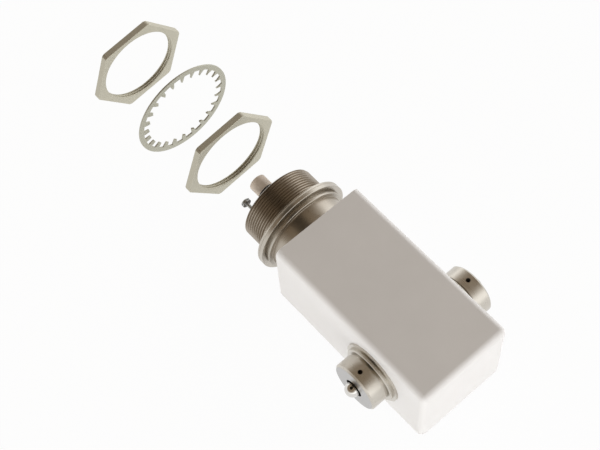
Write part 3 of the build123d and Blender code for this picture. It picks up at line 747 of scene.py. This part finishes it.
def dark_based_plastic(name, base, roughness, dark, shoulder):
    """Moulded plastic that is dark up to a shoulder across the boss axis."""
    finish = moulded_plastic(name, base, roughness)
    _, along = finish.about("Y", ORIGIN)
    # the post is coloured near black below its shoulder
    finish.tint(finish.maths("LESS_THAN", along, shoulder), dark)
    return finish.material


def wound_wire(name, base):
    """Enamelled wire wound in layers along the boss axis."""
    finish = Finish(name, base, roughness=0.3, metallic=1.0)
    wires = finish.bands("Y", 1100, distortion=0.2, detail=1.0)
    finish.shade(wires, dark=0.45, light=1.05, low=0.1, high=0.8)
    finish.rough(finish.noise(600), low=0.22, high=0.38)
    finish.raise_by(wires, 0.12 * MM, strength=0.9)
    return finish.material


def woven_laminate(name, base):
    """Cloth laminate sheet: a fine square weave under resin."""
    finish = Finish(name, base, roughness=0.45)
    threads = [finish.bands(axis, 520, distortion=1.2, detail=2.0) for axis in "XZ"]
    cloth = finish.maths("MULTIPLY", *threads)
    finish.shade(cloth, dark=0.7, light=1.25, low=0.0, high=0.8)
    finish.rough(finish.noise(500), low=0.36, high=0.55)
    finish.raise_by(cloth, 0.02 * MM, strength=0.5)
    return finish.material


def fired_ceramic(name, base, roughness):
    """Fired ceramic or glass: a close grain with rare darker specks."""
    finish = Finish(name, base, roughness)
    finish.shade(finish.cells(620), dark=0.82, light=1.02, low=0.03, high=0.14)
    finish.rough(finish.noise(700, detail=3.0), low=roughness - 0.05, high=roughness + 0.10)
    finish.raise_by(finish.noise(1800, detail=3.0), 0.012 * MM, strength=0.5)
    return finish.material


# ---------------------------------------------------------------------------
# Operators
# ---------------------------------------------------------------------------


class RELAY_OT_inner_finishes(bpy.types.Operator):
    """Gives the inner pieces, which keep their solids from the frame, the finish of their slot"""

    bl_idname = "relay.inner_finishes"
    bl_label = "Inner finishes"

    def execute(self, context):
        colours = context.scene.relay_finish
        finishes = {
            "copper": plain_metal("drawn_copper", colours.copper, roughness=0.30),
            "bobbin_plastic": moulded_plastic("bobbin_plastic", colours.bobbin, roughness=0.5).material,
            "magnet_iron": plain_metal("magnet_iron", colours.iron, roughness=0.42),
            "steel": plain_metal("inner_steel", colours.steel, roughness=0.32),
            "contact_metal": plain_metal("contact_metal", colours.contact, roughness=0.36),
            "terminal_metal": plain_metal(
                "terminal_brass", colours.brass, roughness=0.30, axis="X", centre=TERMINAL_AXIS
            ),
            "alumina": fired_ceramic("alumina", colours.alumina, roughness=0.45),
        }
        winding = wound_wire("wound_copper", colours.copper)
        for part in frame["record"]["subparts"]:
            name = part["node"]
            finish = winding if name == "coil_winding" else finishes.get(part["material_slot"])
            if finish:
                for material_slot in frame["nodes"][name].material_slots:
                    material_slot.material = finish
        return {"FINISHED"}


class RELAY_OT_cast_case(bpy.types.Operator):
    """Models the cast case: a rounded block, open at the boss end and drilled for both studs"""

    bl_idname = "relay.cast_case"
    bl_label = "Cast case"

    def execute(self, context):
        sizes = context.scene.relay_case
        size = CASE_HIGH - CASE_LOW
        middle = (CASE_LOW + CASE_HIGH) / 2
        deselect()
        bpy.ops.mesh.primitive_cube_add(size=1, location=middle, scale=size)
        bpy.ops.object.transform_apply(location=True, rotation=True, scale=True)
        case = name_piece("cast_case")
        edit(case)
        front = CASE_HIGH.y - MERGE
        choose(case, "EDGE", lambda edge: not all(end.co.y > front for end in edge.verts))
        bpy.ops.mesh.bevel(offset=sizes.edge_round, segments=EDGE_STEPS, affect="EDGES")
        choose(case, "FACE", lambda face: face.normal.y > FACING)
        bpy.ops.mesh.inset(thickness=sizes.wall, depth=0)
        inward = Vector((0, sizes.end_wall - size.y, 0))
        bpy.ops.mesh.extrude_region_move(TRANSFORM_OT_translate={"value": inward})
        clean()
        leave_edit()
        reach = size.x
        outline = [(-reach, 0), (-reach, sizes.stud_hole), (reach, sizes.stud_hole), (reach, 0)]
        drill = lathe("drill", about_terminal(outline), TERMINAL_AXIS, X_AXIS, closed=False)
        combine(case, drill, "DIFFERENCE")
        break_edges(case, sizes.rim_round, angle=50, segments=3)
        finish = cast_resin("cast_white", sizes.cast_colour)
        dress(case, "root", ["block_case"], finish)
        return {"FINISHED"}


class RELAY_OT_potting(bpy.types.Operator):
    """Gives the potting its poured surface, sunk a little away from the case wall"""

    bl_idname = "relay.potting"
    bl_label = "Potting"

    def execute(self, context):
        sizes = context.scene.relay_case
        potting = copy_piece(frame["nodes"]["potting_fill"], "poured_potting")
        clean()
        bpy.ops.mesh.dissolve_limited(angle_limit=FLAT_ANGLE)
        top = CASE_HIGH.y - FACE_SKIN

        def on_top(face):
            return face.calc_center_median().y > top and face.normal.y > FACING

        choose(potting, "FACE", on_top)
        bpy.ops.mesh.inset(thickness=2 * sizes.meniscus, depth=0)
        bpy.ops.transform.translate(value=(0, -sizes.meniscus, 0))
        leave_edit()
        finish = potting_resin("potting", sizes.potting_colour)
        dress(potting, "root", ["potting_fill"], finish)
        return {"FINISHED"}


class RELAY_OT_mounting_boss(bpy.types.Operator):
    """Models the mounting boss: keyed root, neck, collar, grooved flange and a helical thread"""

    bl_idname = "relay.mounting_boss"
    bl_label = "Mounting boss"

    def execute(self, context):
        sizes = context.scene.relay_boss
        _, depth = thread_form(sizes)
        valley = sizes.thread_radius - depth
        bore = valley - sizes.wall
        ledge = bore + sizes.ledge
        mouth = BOSS_HIGH.y
        inner_end = BOSS_LOW.y
        back = -sizes.flange
        collar = back - sizes.slot
        neck = collar - sizes.collar
        block = CASE_HIGH.y
        rim = BOSS_HIGH.x
        groove = -sizes.rim_groove_at
        groove_floor = rim - sizes.rim_groove_depth
        half = sizes.rim_groove_width / 2
        root = bore + sizes.root_wall
        key = (inner_end + block) / 2
        key_floor = root - sizes.root_groove_depth
        half_key = sizes.root_groove_width / 2
        outline = [
            # root, keyed in the potting
            (bore, inner_end),
            (root, inner_end),
            (root, key - half_key),
            (key_floor, key - half_key),
            (key_floor, key + half_key),
            (root, key + half_key),
            (root, block),
            # neck, collar and slot
            (sizes.neck_radius, block),
            (sizes.neck_radius, neck),
            (sizes.collar_radius, neck),
            (sizes.collar_radius, collar),
            (sizes.slot_radius, collar),
            (sizes.slot_radius, back),
            # flange and the groove round its rim
            (rim, back),
            (rim, groove - half),
            (groove_floor, groove - half / 2),
            (groove_floor, groove + half / 2),
            (rim, groove + half),
            (rim, 0),
            # pilot collar and the core under the thread
            (sizes.thread_radius, 0),
            (sizes.thread_radius, sizes.pilot),
            (valley, sizes.pilot),
            (valley, mouth - sizes.thread_chamfer / 2),
            (valley - sizes.thread_chamfer / 2, mouth),
            # seat of the header
            (ledge, mouth),
            (ledge, HEADER_LOW.y),
            (bore, HEADER_LOW.y),
        ]
        boss = lathe("threaded_boss", about_boss(outline))
        break_edges(boss, sizes.edge_break)
        combine(boss, self.thread(sizes, valley, mouth), "UNION")
        colours = context.scene.relay_finish
        finish = boss_nickel(
            "nickel_boss",
            colours.nickel,
            colours.shade_and_dull,
            block=block,
            neck=neck,
            start=sizes.pilot,
            valley=valley,
            crest=sizes.thread_radius,
        )
        dress(boss, "root", ["mounting_boss"], finish)
        return {"FINISHED"}

    def thread(self, sizes, valley, mouth):
        """The boss's helical ridge, trimmed to the pilot collar and the chamfered mouth."""
        turns = math.ceil(mouth / sizes.thread_pitch) + 1
        ridge = thread_coil("thread", sizes, sizes.thread_radius, -sizes.thread_pitch, turns)
        inner = valley - sizes.thread_valley
        start = sizes.pilot / 2
        bevel = sizes.thread_chamfer
        end = mouth - bevel / 8  # the ridge fades out just short of the mouth
        outline = [
            (inner, start),
            (sizes.thread_radius, start),
            (sizes.thread_radius, mouth - bevel),
            (valley - bevel / 4, end),
            (inner, end),
        ]
        combine(ridge, lathe("blank", about_boss(outline)), "INTERSECT")
        return ridge


class RELAY_OT_header(bpy.types.Operator):
    """Models the header disc in the boss's mouth, and the fired bushing round each pin"""

    bl_idname = "relay.header"
    bl_label = "Header and bushings"

    def execute(self, context):
        sizes = context.scene.relay_header
        colours = context.scene.relay_finish
        low, high = HEADER_LOW.y, HEADER_HIGH.y
        bush = sizes.pin_radius + sizes.bush_wall
        inner = sizes.tube_radius + sizes.fit
        outline = [(inner, low), (HEADER_HIGH.x, low), (HEADER_HIGH.x, high), (inner, high)]
        disc = lathe("header_plate", about_boss(outline))
        outline = [(0, low - bush), (bush, low - bush), (bush, high + bush), (0, high + bush)]
        drill = lathe("drill", about_pin(outline), PIN_AXIS, closed=False, steps=SMALL_STEPS)
        second_drill = copy_moved(drill, "second_drill", -2 * PIN_AXIS)
        combine(disc, drill, "DIFFERENCE")
        combine(disc, second_drill, "DIFFERENCE")
        break_edges(disc, sizes.header_break)
        board = woven_laminate("header_board", colours.laminate)
        dress(disc, "root", ["header_disc"], board)

        proud = sizes.bush_proud
        top = high + proud
        outline = [
            (sizes.pin_radius, low),
            (bush, low),
            (bush, high),
            *arc((bush - proud, high), proud, 0, 90, BUSH_STEPS),
            (sizes.pin_radius + proud, top),
            (sizes.pin_radius, top - proud / 3),
        ]
        glass = fired_ceramic("bush_glass", colours.glass, roughness=0.2)
        left = lathe("left_pin_bushing", about_pin(outline), PIN_AXIS, steps=SMALL_STEPS)
        right = copy_moved(left, "right_pin_bushing", -2 * PIN_AXIS)
        for bushing in (left, right):
            dress(bushing, "root", ["pin_bushings"], glass)
        return {"FINISHED"}


class RELAY_OT_coil_pins(bpy.types.Operator):
    """Models the two coil pins, each with a grooved, turned head"""

    bl_idname = "relay.coil_pins"
    bl_label = "Coil pins"

    def execute(self, context):
        sizes = context.scene.relay_header
        stem = sizes.pin_radius
        head = (PIN_HIGH.x - PIN_LOW.x) / 2
        top = PIN_HIGH.y
        under = top - sizes.pin_head
        fifth = sizes.pin_head / 5  # the head's two rings take two of these each, its groove one
        edge = fifth / 3
        outline = [
            # stem
            (0, PIN_LOW.y),
            (stem - edge, PIN_LOW.y),
            (stem, PIN_LOW.y + edge),
            (stem, under),
            # lower ring, groove and upper ring of the head
            (head - edge, under),
            (head, under + edge),
            (head, under + 2 * fifth - edge),
            (head - edge, under + 2 * fifth),
            (head - sizes.pin_neck, under + 2 * fifth),
            (head - sizes.pin_neck, under + 3 * fifth),
            (head - edge, under + 3 * fifth),
            (head, under + 3 * fifth + edge),
            (head, top - edge),
            (head - edge, top),
            (0, top),
        ]
        left = lathe("left_turned_pin", about_pin(outline), PIN_AXIS, closed=False, steps=SMALL_STEPS)
        right = copy_moved(left, "right_turned_pin", -2 * PIN_AXIS)
        colours = context.scene.relay_finish
        tin = plain_metal("tinned_pin", colours.tin, roughness=0.50, centre=PIN_AXIS)
        for piece, node in ((left, "left_coil_pin"), (right, "right_coil_pin")):
            dress(piece, "root", [node], tin)
        return {"FINISHED"}


class RELAY_OT_centre_post(bpy.types.Operator):
    """Models the moulded centre post with its bore, its shoulder and its rounded top"""

    bl_idname = "relay.centre_post"
    bl_label = "Centre post"

    def execute(self, context):
        sizes = context.scene.relay_header
        low, top = POST_LOW.y, POST_HIGH.y
        base = POST_HIGH.x
        shoulder = low + sizes.post_base
        crown = sizes.post_round
        outline = [
            (0, low + sizes.post_bore_depth),
            (sizes.post_bore, low + sizes.post_bore_depth),
            (sizes.post_bore, low),
            (base, low),
            (base, shoulder - sizes.post_shoulder),
            (base - sizes.post_shoulder, shoulder),
            (sizes.post_radius, shoulder),
            *arc((sizes.post_radius - crown, top - crown), crown, 0, 90, CROWN_STEPS),
            (0, top),
        ]
        post = lathe("moulded_post", about_boss(outline), closed=False, steps=SMALL_STEPS)
        break_edges(post, sizes.post_break, angle=40)
        colours = context.scene.relay_finish
        finish = dark_based_plastic(
            "post_plastic", colours.post, roughness=0.55, dark=colours.collar, shoulder=shoulder
        )
        dress(post, "root", ["centre_post"], finish)
        return {"FINISHED"}


class RELAY_OT_terminal_caps(bpy.types.Operator):
    """Models the two terminal caps: base, collar, groove, chamfered cap, end recess and cross hole"""

    bl_idname = "relay.terminal_caps"
    bl_label = "Terminal caps"

    def execute(self, context):
        sizes = context.scene.relay_terminal
        wall = CAP_LOW.x
        face = CAP_HIGH.x
        base = wall + sizes.base
        collar = base + sizes.collar
        groove = collar + sizes.groove
        recess = face + sizes.ball_rise - sizes.ball_radius - sizes.floor_gap
        stud_end = recess - sizes.web
        outline = [
            # thin base and collar
            (wall, sizes.stud_radius),
            (wall, CAP_HIGH.z),
            (base, CAP_HIGH.z),
            (base, sizes.collar_radius),
            (collar - sizes.collar_chamfer, sizes.collar_radius),
            (collar, sizes.collar_radius - sizes.collar_chamfer),
            (collar, sizes.groove_radius),
            # groove and cap
            (groove, sizes.groove_radius),
            (groove + sizes.inner_chamfer, sizes.cap_radius),
            (face - sizes.outer_chamfer, sizes.cap_radius),
            (face, sizes.cap_radius - sizes.outer_chamfer),
            # end recess and the bores behind it
            (face, sizes.recess_radius),
            (recess, sizes.recess_radius),
            (recess, sizes.ball_shank),
            (stud_end, sizes.ball_shank),
            (stud_end, sizes.stud_radius),
        ]
        right = lathe("right_turned_cap", about_terminal(outline), TERMINAL_AXIS, X_AXIS)
        drill_at = TERMINAL_AXIS + Vector((face - sizes.cross_hole_sink, 0, 0))
        reach = 2 * sizes.cap_radius
        outline = [(0, 0), (sizes.cross_hole, 0), (sizes.cross_hole, reach), (0, reach)]
        points = [drill_at + Vector((radius, 0, height)) for radius, height in outline]
        drill = lathe("drill", points, drill_at, Z_AXIS, closed=False, steps=HOLE_STEPS)
        combine(right, drill, "DIFFERENCE")
        break_edges(right, sizes.edge_break, angle=30)
        left = copy_across(right, "left_turned_cap")
        colours = context.scene.relay_finish
        mouth = sizes.recess_radius + sizes.edge_break
        nickel = cap_nickel("nickel_caps", colours.nickel, colours.face_shade, colours.shade_and_dull, face, mouth)
        for piece, node in ((right, "right_terminal_cap"), (left, "left_terminal_cap")):
            dress(piece, "root", [node], nickel)
        return {"FINISHED"}


class RELAY_OT_ball_studs(bpy.types.Operator):
    """Models the polished ball in each terminal's end recess, on its shank"""

    bl_idname = "relay.ball_studs"
    bl_label = "Ball studs"

    def execute(self, context):
        sizes = context.scene.relay_terminal
        centre = BALL_HIGH.x - sizes.ball_radius
        neck = math.degrees(math.asin(sizes.ball_shank / sizes.ball_radius))
        outline = [
            (BALL_LOW.x, 0),
            (BALL_LOW.x, sizes.ball_shank),
            *arc((centre, 0), sizes.ball_radius, 180 - neck, 0, BALL_STEPS),
        ]
        points = about_terminal(outline)
        right = lathe(
            "right_polished_ball", points, TERMINAL_AXIS, X_AXIS, closed=False, steps=SMALL_STEPS
        )
        left = copy_across(right, "left_polished_ball")
        steel = polished_metal("polished_steel", context.scene.relay_finish.polished)
        for piece, node in ((right, "right_ball_stud"), (left, "left_ball_stud")):
            dress(piece, "root", [node], steel)
        return {"FINISHED"}


class RELAY_OT_panel_nuts(bpy.types.Operator):
    """Models the two thin hexagon nuts, with chamfered corners and a helical thread in the bore"""

    bl_idname = "relay.panel_nuts"
    bl_label = "Panel nuts"

    def execute(self, context):
        low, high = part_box("inner_nut")
        far_low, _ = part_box("outer_nut")
        inner = self.model(context, low.y, high.y)
        outer = copy_moved(inner, "outer_hex_nut", (0, far_low.y - low.y, 0))
        nickel = tumbled_nickel("nickel_nuts", context.scene.relay_finish.nut)
        for piece, node in ((inner, "inner_nut"), (outer, "outer_nut")):
            dress(piece, node, [node], nickel)
        return {"FINISHED"}

    def model(self, context, near, far):
        """The inner nut, between its two faces' places along the axis."""
        sizes = context.scene.relay_nut
        thread = context.scene.relay_boss
        middle = Vector((0, (near + far) / 2, 0))
        thickness = far - near
        deselect()
        bpy.ops.mesh.primitive_cylinder_add(
            vertices=6,
            radius=sizes.flats / math.sqrt(3),
            depth=thickness,
            location=middle,
            rotation=(math.radians(90), 0, 0),
        )
        bpy.ops.object.transform_apply(location=True, rotation=True, scale=True)
        nut = name_piece("inner_hex_nut")
        edit(nut)
        first = self.corner_angle(nut)
        bpy.ops.mesh.select_all(action="SELECT")
        bpy.ops.transform.rotate(value=sizes.turned - first, orient_axis="Y", center_override=middle)

        def runs_along(edge):
            return abs(edge.verts[0].co.y - edge.verts[1].co.y) > thickness / 2

        choose(nut, "EDGE", runs_along)
        bpy.ops.mesh.bevel(offset=sizes.corner, segments=1, affect="EDGES")
        clean()
        leave_edit()
        bore = thread.thread_radius + sizes.clearance
        wide = bore + sizes.bore_chamfer
        outline = [
            (0, near - thickness),
            (wide, near - thickness),
            (wide, near),
            (bore, near + sizes.bore_chamfer),
            (bore, far - sizes.bore_chamfer),
            (wide, far),
            (wide, far + thickness),
            (0, far + thickness),
        ]
        combine(nut, lathe("plug", about_boss(outline), closed=False), "DIFFERENCE")
        break_edges(nut, sizes.edge_break, angle=40)
        _, depth = thread_form(thread)
        lead = 2  # turns of the groove before the near face; one more runs out beyond the far one
        turns = math.ceil(thickness / thread.thread_pitch) + lead + 1
        start = near - lead * thread.thread_pitch
        combine(nut, thread_coil("groove", thread, bore + depth, start, turns), "DIFFERENCE")
        return nut

    def corner_angle(self, nut):
        """Angle of the corner that is nearest to +X, from +X towards +Z."""
        mesh = bmesh.from_edit_mesh(nut.data)
        corner = max(mesh.verts, key=lambda vertex: vertex.co.x)
        return math.atan2(corner.co.z, corner.co.x)


class RELAY_OT_lock_washer(bpy.types.Operator):
    """Models the internal-tooth lock washer: one sector of rim with its twisted tooth, copied round"""

    bl_idname = "relay.lock_washer"
    bl_label = "Lock washer"

    def execute(self, context):
        sizes = context.scene.relay_washer
        middle = (WASHER_LOW.y + WASHER_HIGH.y) / 2
        outer = WASHER_HIGH.x
        inner = outer - sizes.rim
        half = sizes.sheet / 2
        cut = sizes.edge_break
        sector = math.tau / sizes.teeth
        root = sizes.tooth_root / inner
        side = (sector - root) / 2
        outline = [
            (inner, middle - half),
            (outer - cut, middle - half),
            (outer, middle - half + cut),
            (outer, middle + half - cut),
            (outer - cut, middle + half),
            (inner, middle + half),
        ]
        washer = draw_outline("toothed_washer", about_boss(outline))
        plain = (side, TOOTH_SIDE_STEPS)
        for angle, steps in (plain, (root, TOOTH_ROOT_STEPS), plain):
            bpy.ops.mesh.spin(steps=steps, angle=angle, center=ORIGIN, axis=Y_AXIS)
        clean()
        tip = context.scene.relay_boss.thread_radius + sizes.tooth_gap
        self.draw_tooth(washer, sizes, inner, tip, middle)
        bpy.ops.mesh.select_all(action="SELECT")
        bpy.ops.mesh.spin(
            steps=sizes.teeth - 1, angle=math.tau - sector, center=ORIGIN, axis=Y_AXIS, dupli=True
        )
        clean()
        leave_edit()
        break_edges(washer, cut, angle=50)
        nickel = tumbled_nickel("nickel_washer", context.scene.relay_finish.washer)
        dress(washer, "lock_washer", ["lock_washer"], nickel)
        return {"FINISHED"}

    def draw_tooth(self, washer, sizes, inner, tip, middle):
        """Draws the inner face of the sector's middle inwards in steps, narrowing and twisting it."""
        mesh = bmesh.from_edit_mesh(washer.data)
        angles = [math.atan2(vertex.co.z, vertex.co.x) for vertex in mesh.verts]
        along = (min(angles) + max(angles)) / 2
        out = Vector((math.cos(along), 0, math.sin(along)))
        half_root = sizes.tooth_root / inner / 2

        def under_tooth(face):
            spot = face.calc_center_median()
            flat = Vector((spot.x, 0, spot.z))
            return flat.length < inner + MERGE and flat.normalized().angle(out) < half_root

        choose(washer, "FACE", under_tooth)
        step = -out * (inner - tip) / TOOTH_STEPS
        spot = out * inner + Vector((0, middle, 0))
        across = out.cross(Y_AXIS)
        narrowing = (sizes.tooth_tip / sizes.tooth_root) ** (1 / TOOTH_STEPS)
        for _ in range(TOOTH_STEPS):
            bpy.ops.mesh.extrude_region_move(TRANSFORM_OT_translate={"value": step})
            spot = spot + step
            turned = Matrix.Rotation(sizes.tip_twist / TOOTH_STEPS, 4, out)
            narrowed = Matrix.Scale(narrowing, 4, across)
            move = Matrix.Translation(spot) @ turned @ narrowed @ Matrix.Translation(-spot)
            across = turned @ across
            bpy.ops.mesh.select_mode(type="FACE")
            mesh = bmesh.from_edit_mesh(washer.data)
            bmesh.ops.transform(mesh, matrix=move, verts=[v for v in mesh.verts if v.select])
            bmesh.update_edit_mesh(washer.data)


class RELAY_OT_stage(bpy.types.Operator):
    """Sets the pale floor, the soft surround, the lamps and the camera"""

    bl_idname = "relay.stage"
    bl_label = "Stage"

    def execute(self, context):
        settings = context.scene.relay_stage
        context.scene.view_settings.view_transform = "Standard"
        self.floor(settings)
        self.surround(context, settings)
        for name, at, width, power in LAMPS:
            self.lamp(context, name, Vector(at), width, power)
        self.camera(context, settings)
        return {"FINISHED"}

    def floor(self, settings):
        """A plain floor under the object. A ray that shows it sees nearly plain white, and a
        little of its own shade and of the object's shadow."""
        low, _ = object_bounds()
        deselect()
        bpy.ops.mesh.primitive_plane_add(size=settings.floor_size, location=(0, 0, low.z))
        floor = name_piece("studio_floor")
        material = bpy.data.materials.new("floor_white")
        material.use_nodes = True
        tree = material.node_tree
        shader = tree.nodes["Principled BSDF"]
        shader.inputs["Base Color"].default_value = (*settings.floor_colour, 1)
        shader.inputs["Roughness"].default_value = FLOOR_ROUGHNESS
        rays = add_node(tree, "ShaderNodeLightPath").outputs
        seen = rays["Is Camera Ray"]
        for ray in ("Is Glossy Ray", "Is Transmission Ray"):
            seen = maths(tree, "MAXIMUM", seen, rays[ray])
        share = maths(tree, "MULTIPLY", seen, FLOOR_WHITE)
        white = add_node(tree, "ShaderNodeEmission").outputs[0]
        mix = add_node(tree, "ShaderNodeMixShader", {0: share, 1: shader.outputs[0], 2: white})
        tree.links.new(mix.outputs[0], tree.nodes["Material Output"].inputs["Surface"])
        floor.data.materials.append(material)
        floor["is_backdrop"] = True

    def surround(self, context, settings):
        """A dome of light that is pale level with the object, dimmer and warmer overhead, and
        plain white where it is seen directly."""
        world = bpy.data.worlds.new("soft_surround")
        context.scene.world = world
        world.use_nodes = True
        tree = world.node_tree
        away = add_node(tree, "ShaderNodeTexCoord").outputs["Generated"]
        overhead = Vector((settings.dark_across, settings.dark_along, 1)).normalized()
        height = add_node(tree, "ShaderNodeVectorMath", {0: away, 1: overhead}, operation="DOT_PRODUCT")
        ramp = add_node(tree, "ShaderNodeValToRGB", {0: height.outputs["Value"]})
        tones = (
            settings.sky_low,
            settings.sky_mid,
            settings.sky_ring,
            settings.sky_high,
            settings.sky_top,
        )
        stops = ramp.color_ramp.elements
        while len(stops) < len(tones):
            stops.new(0.5)  # each stop gets its place below
        for stop, at, tone in zip(stops, SKY_STOPS, tones):
            stop.position = at
            stop.color = (*tone, 1)
        background = tree.nodes["Background"]
        background.inputs["Strength"].default_value = settings.sky_level
        tree.links.new(ramp.outputs[0], background.inputs["Color"])
        white = add_node(tree, "ShaderNodeBackground", {"Color": (1, 1, 1, 1)}).outputs[0]
        seen = add_node(tree, "ShaderNodeLightPath").outputs["Is Camera Ray"]
        mix = add_node(tree, "ShaderNodeMixShader", {0: seen, 1: background.outputs[0], 2: white})
        tree.links.new(mix.outputs[0], tree.nodes["World Output"].inputs["Surface"])

    def lamp(self, context, name, at, width, power):
        """A broad low lamp that shines at the origin and that reflections don't show."""
        data = bpy.data.lights.new(name, "AREA")
        data.shape = "RECTANGLE"
        data.size = width
        data.size_y = LAMP_HEIGHT
        data.energy = power
        data.color = COOL_WHITE
        light = bpy.data.objects.new(name, data)
        context.scene.collection.objects.link(light)
        light.location = at
        light.visible_glossy = False
        light.rotation_mode = "QUATERNION"
        light.rotation_quaternion = at.to_track_quat("Z", "Y")

    def camera(self, context, settings):
        data = bpy.data.cameras.new("camera")
        data.lens = settings.lens
        data.sensor_width = SENSOR_WIDTH
        data.clip_start = NEAR_CLIP
        camera = bpy.data.objects.new("camera", data)
        context.scene.collection.objects.link(camera)
        flat = math.cos(settings.elevation)
        across = math.sin(settings.azimuth) * flat
        along = -math.cos(settings.azimuth) * flat
        back = Vector((across, along, math.sin(settings.elevation)))
        target = Vector((settings.target_x, settings.target_y, 0))
        camera.location = target + back * settings.distance
        upright = (-back).to_track_quat("-Z", "Y")
        camera.rotation_mode = "QUATERNION"
        camera.rotation_quaternion = upright @ Quaternion((0, 0, 1), settings.roll)
        context.scene.camera = camera


class RELAY_PT_panel(bpy.types.Panel):
    """Lists the pieces of the relay block and the stage"""

    bl_idname = "RELAY_PT_panel"
    bl_label = "High-voltage relay block"
    bl_space_type = "VIEW_3D"
    bl_region_type = "UI"
    bl_category = "Relay"

    def draw(self, context):
        for operator in OPERATORS:
            self.layout.operator(operator.bl_idname)
        for attribute, _ in SETTINGS:
            group = getattr(context.scene, attribute)
            box = self.layout.box()
            box.label(text=attribute.replace("relay_", "").capitalize())
            for key in group.bl_rna.properties.keys():
                if key not in ("rna_type", "name"):
                    box.prop(group, key)


SETTINGS = [
    ("relay_case", CaseSizes),
    ("relay_boss", BossSizes),
    ("relay_header", HeaderSizes),
    ("relay_terminal", TerminalSizes),
    ("relay_nut", NutSizes),
    ("relay_washer", WasherSizes),
    ("relay_finish", FinishColours),
    ("relay_stage", StageSettings),
]
OPERATORS = [
    RELAY_OT_inner_finishes,
    RELAY_OT_cast_case,
    RELAY_OT_potting,
    RELAY_OT_mounting_boss,
    RELAY_OT_header,
    RELAY_OT_coil_pins,
    RELAY_OT_centre_post,
    RELAY_OT_terminal_caps,
    RELAY_OT_ball_studs,
    RELAY_OT_panel_nuts,
    RELAY_OT_lock_washer,
    RELAY_OT_stage,
]


def register():
    for attribute, group in SETTINGS:
        bpy.utils.register_class(group)
        setattr(bpy.types.Scene, attribute, PointerProperty(type=group))
    for cls in (*OPERATORS, RELAY_PT_panel):
        bpy.utils.register_class(cls)


def unregister():
    for cls in reversed((*OPERATORS, RELAY_PT_panel)):
        bpy.utils.unregister_class(cls)
    for attribute, group in reversed(SETTINGS):
        delattr(bpy.types.Scene, attribute)
        bpy.utils.unregister_class(group)


def main():
    register()
    bpy.ops.relay.inner_finishes()
    bpy.ops.relay.cast_case()
    bpy.ops.relay.potting()
    bpy.ops.relay.mounting_boss()
    bpy.ops.relay.header()
    bpy.ops.relay.coil_pins()
    bpy.ops.relay.centre_post()
    bpy.ops.relay.terminal_caps()
    bpy.ops.relay.ball_studs()
    bpy.ops.relay.panel_nuts()
    bpy.ops.relay.lock_washer()
    bpy.ops.relay.stage()


if __name__ == "__main__":
    main()
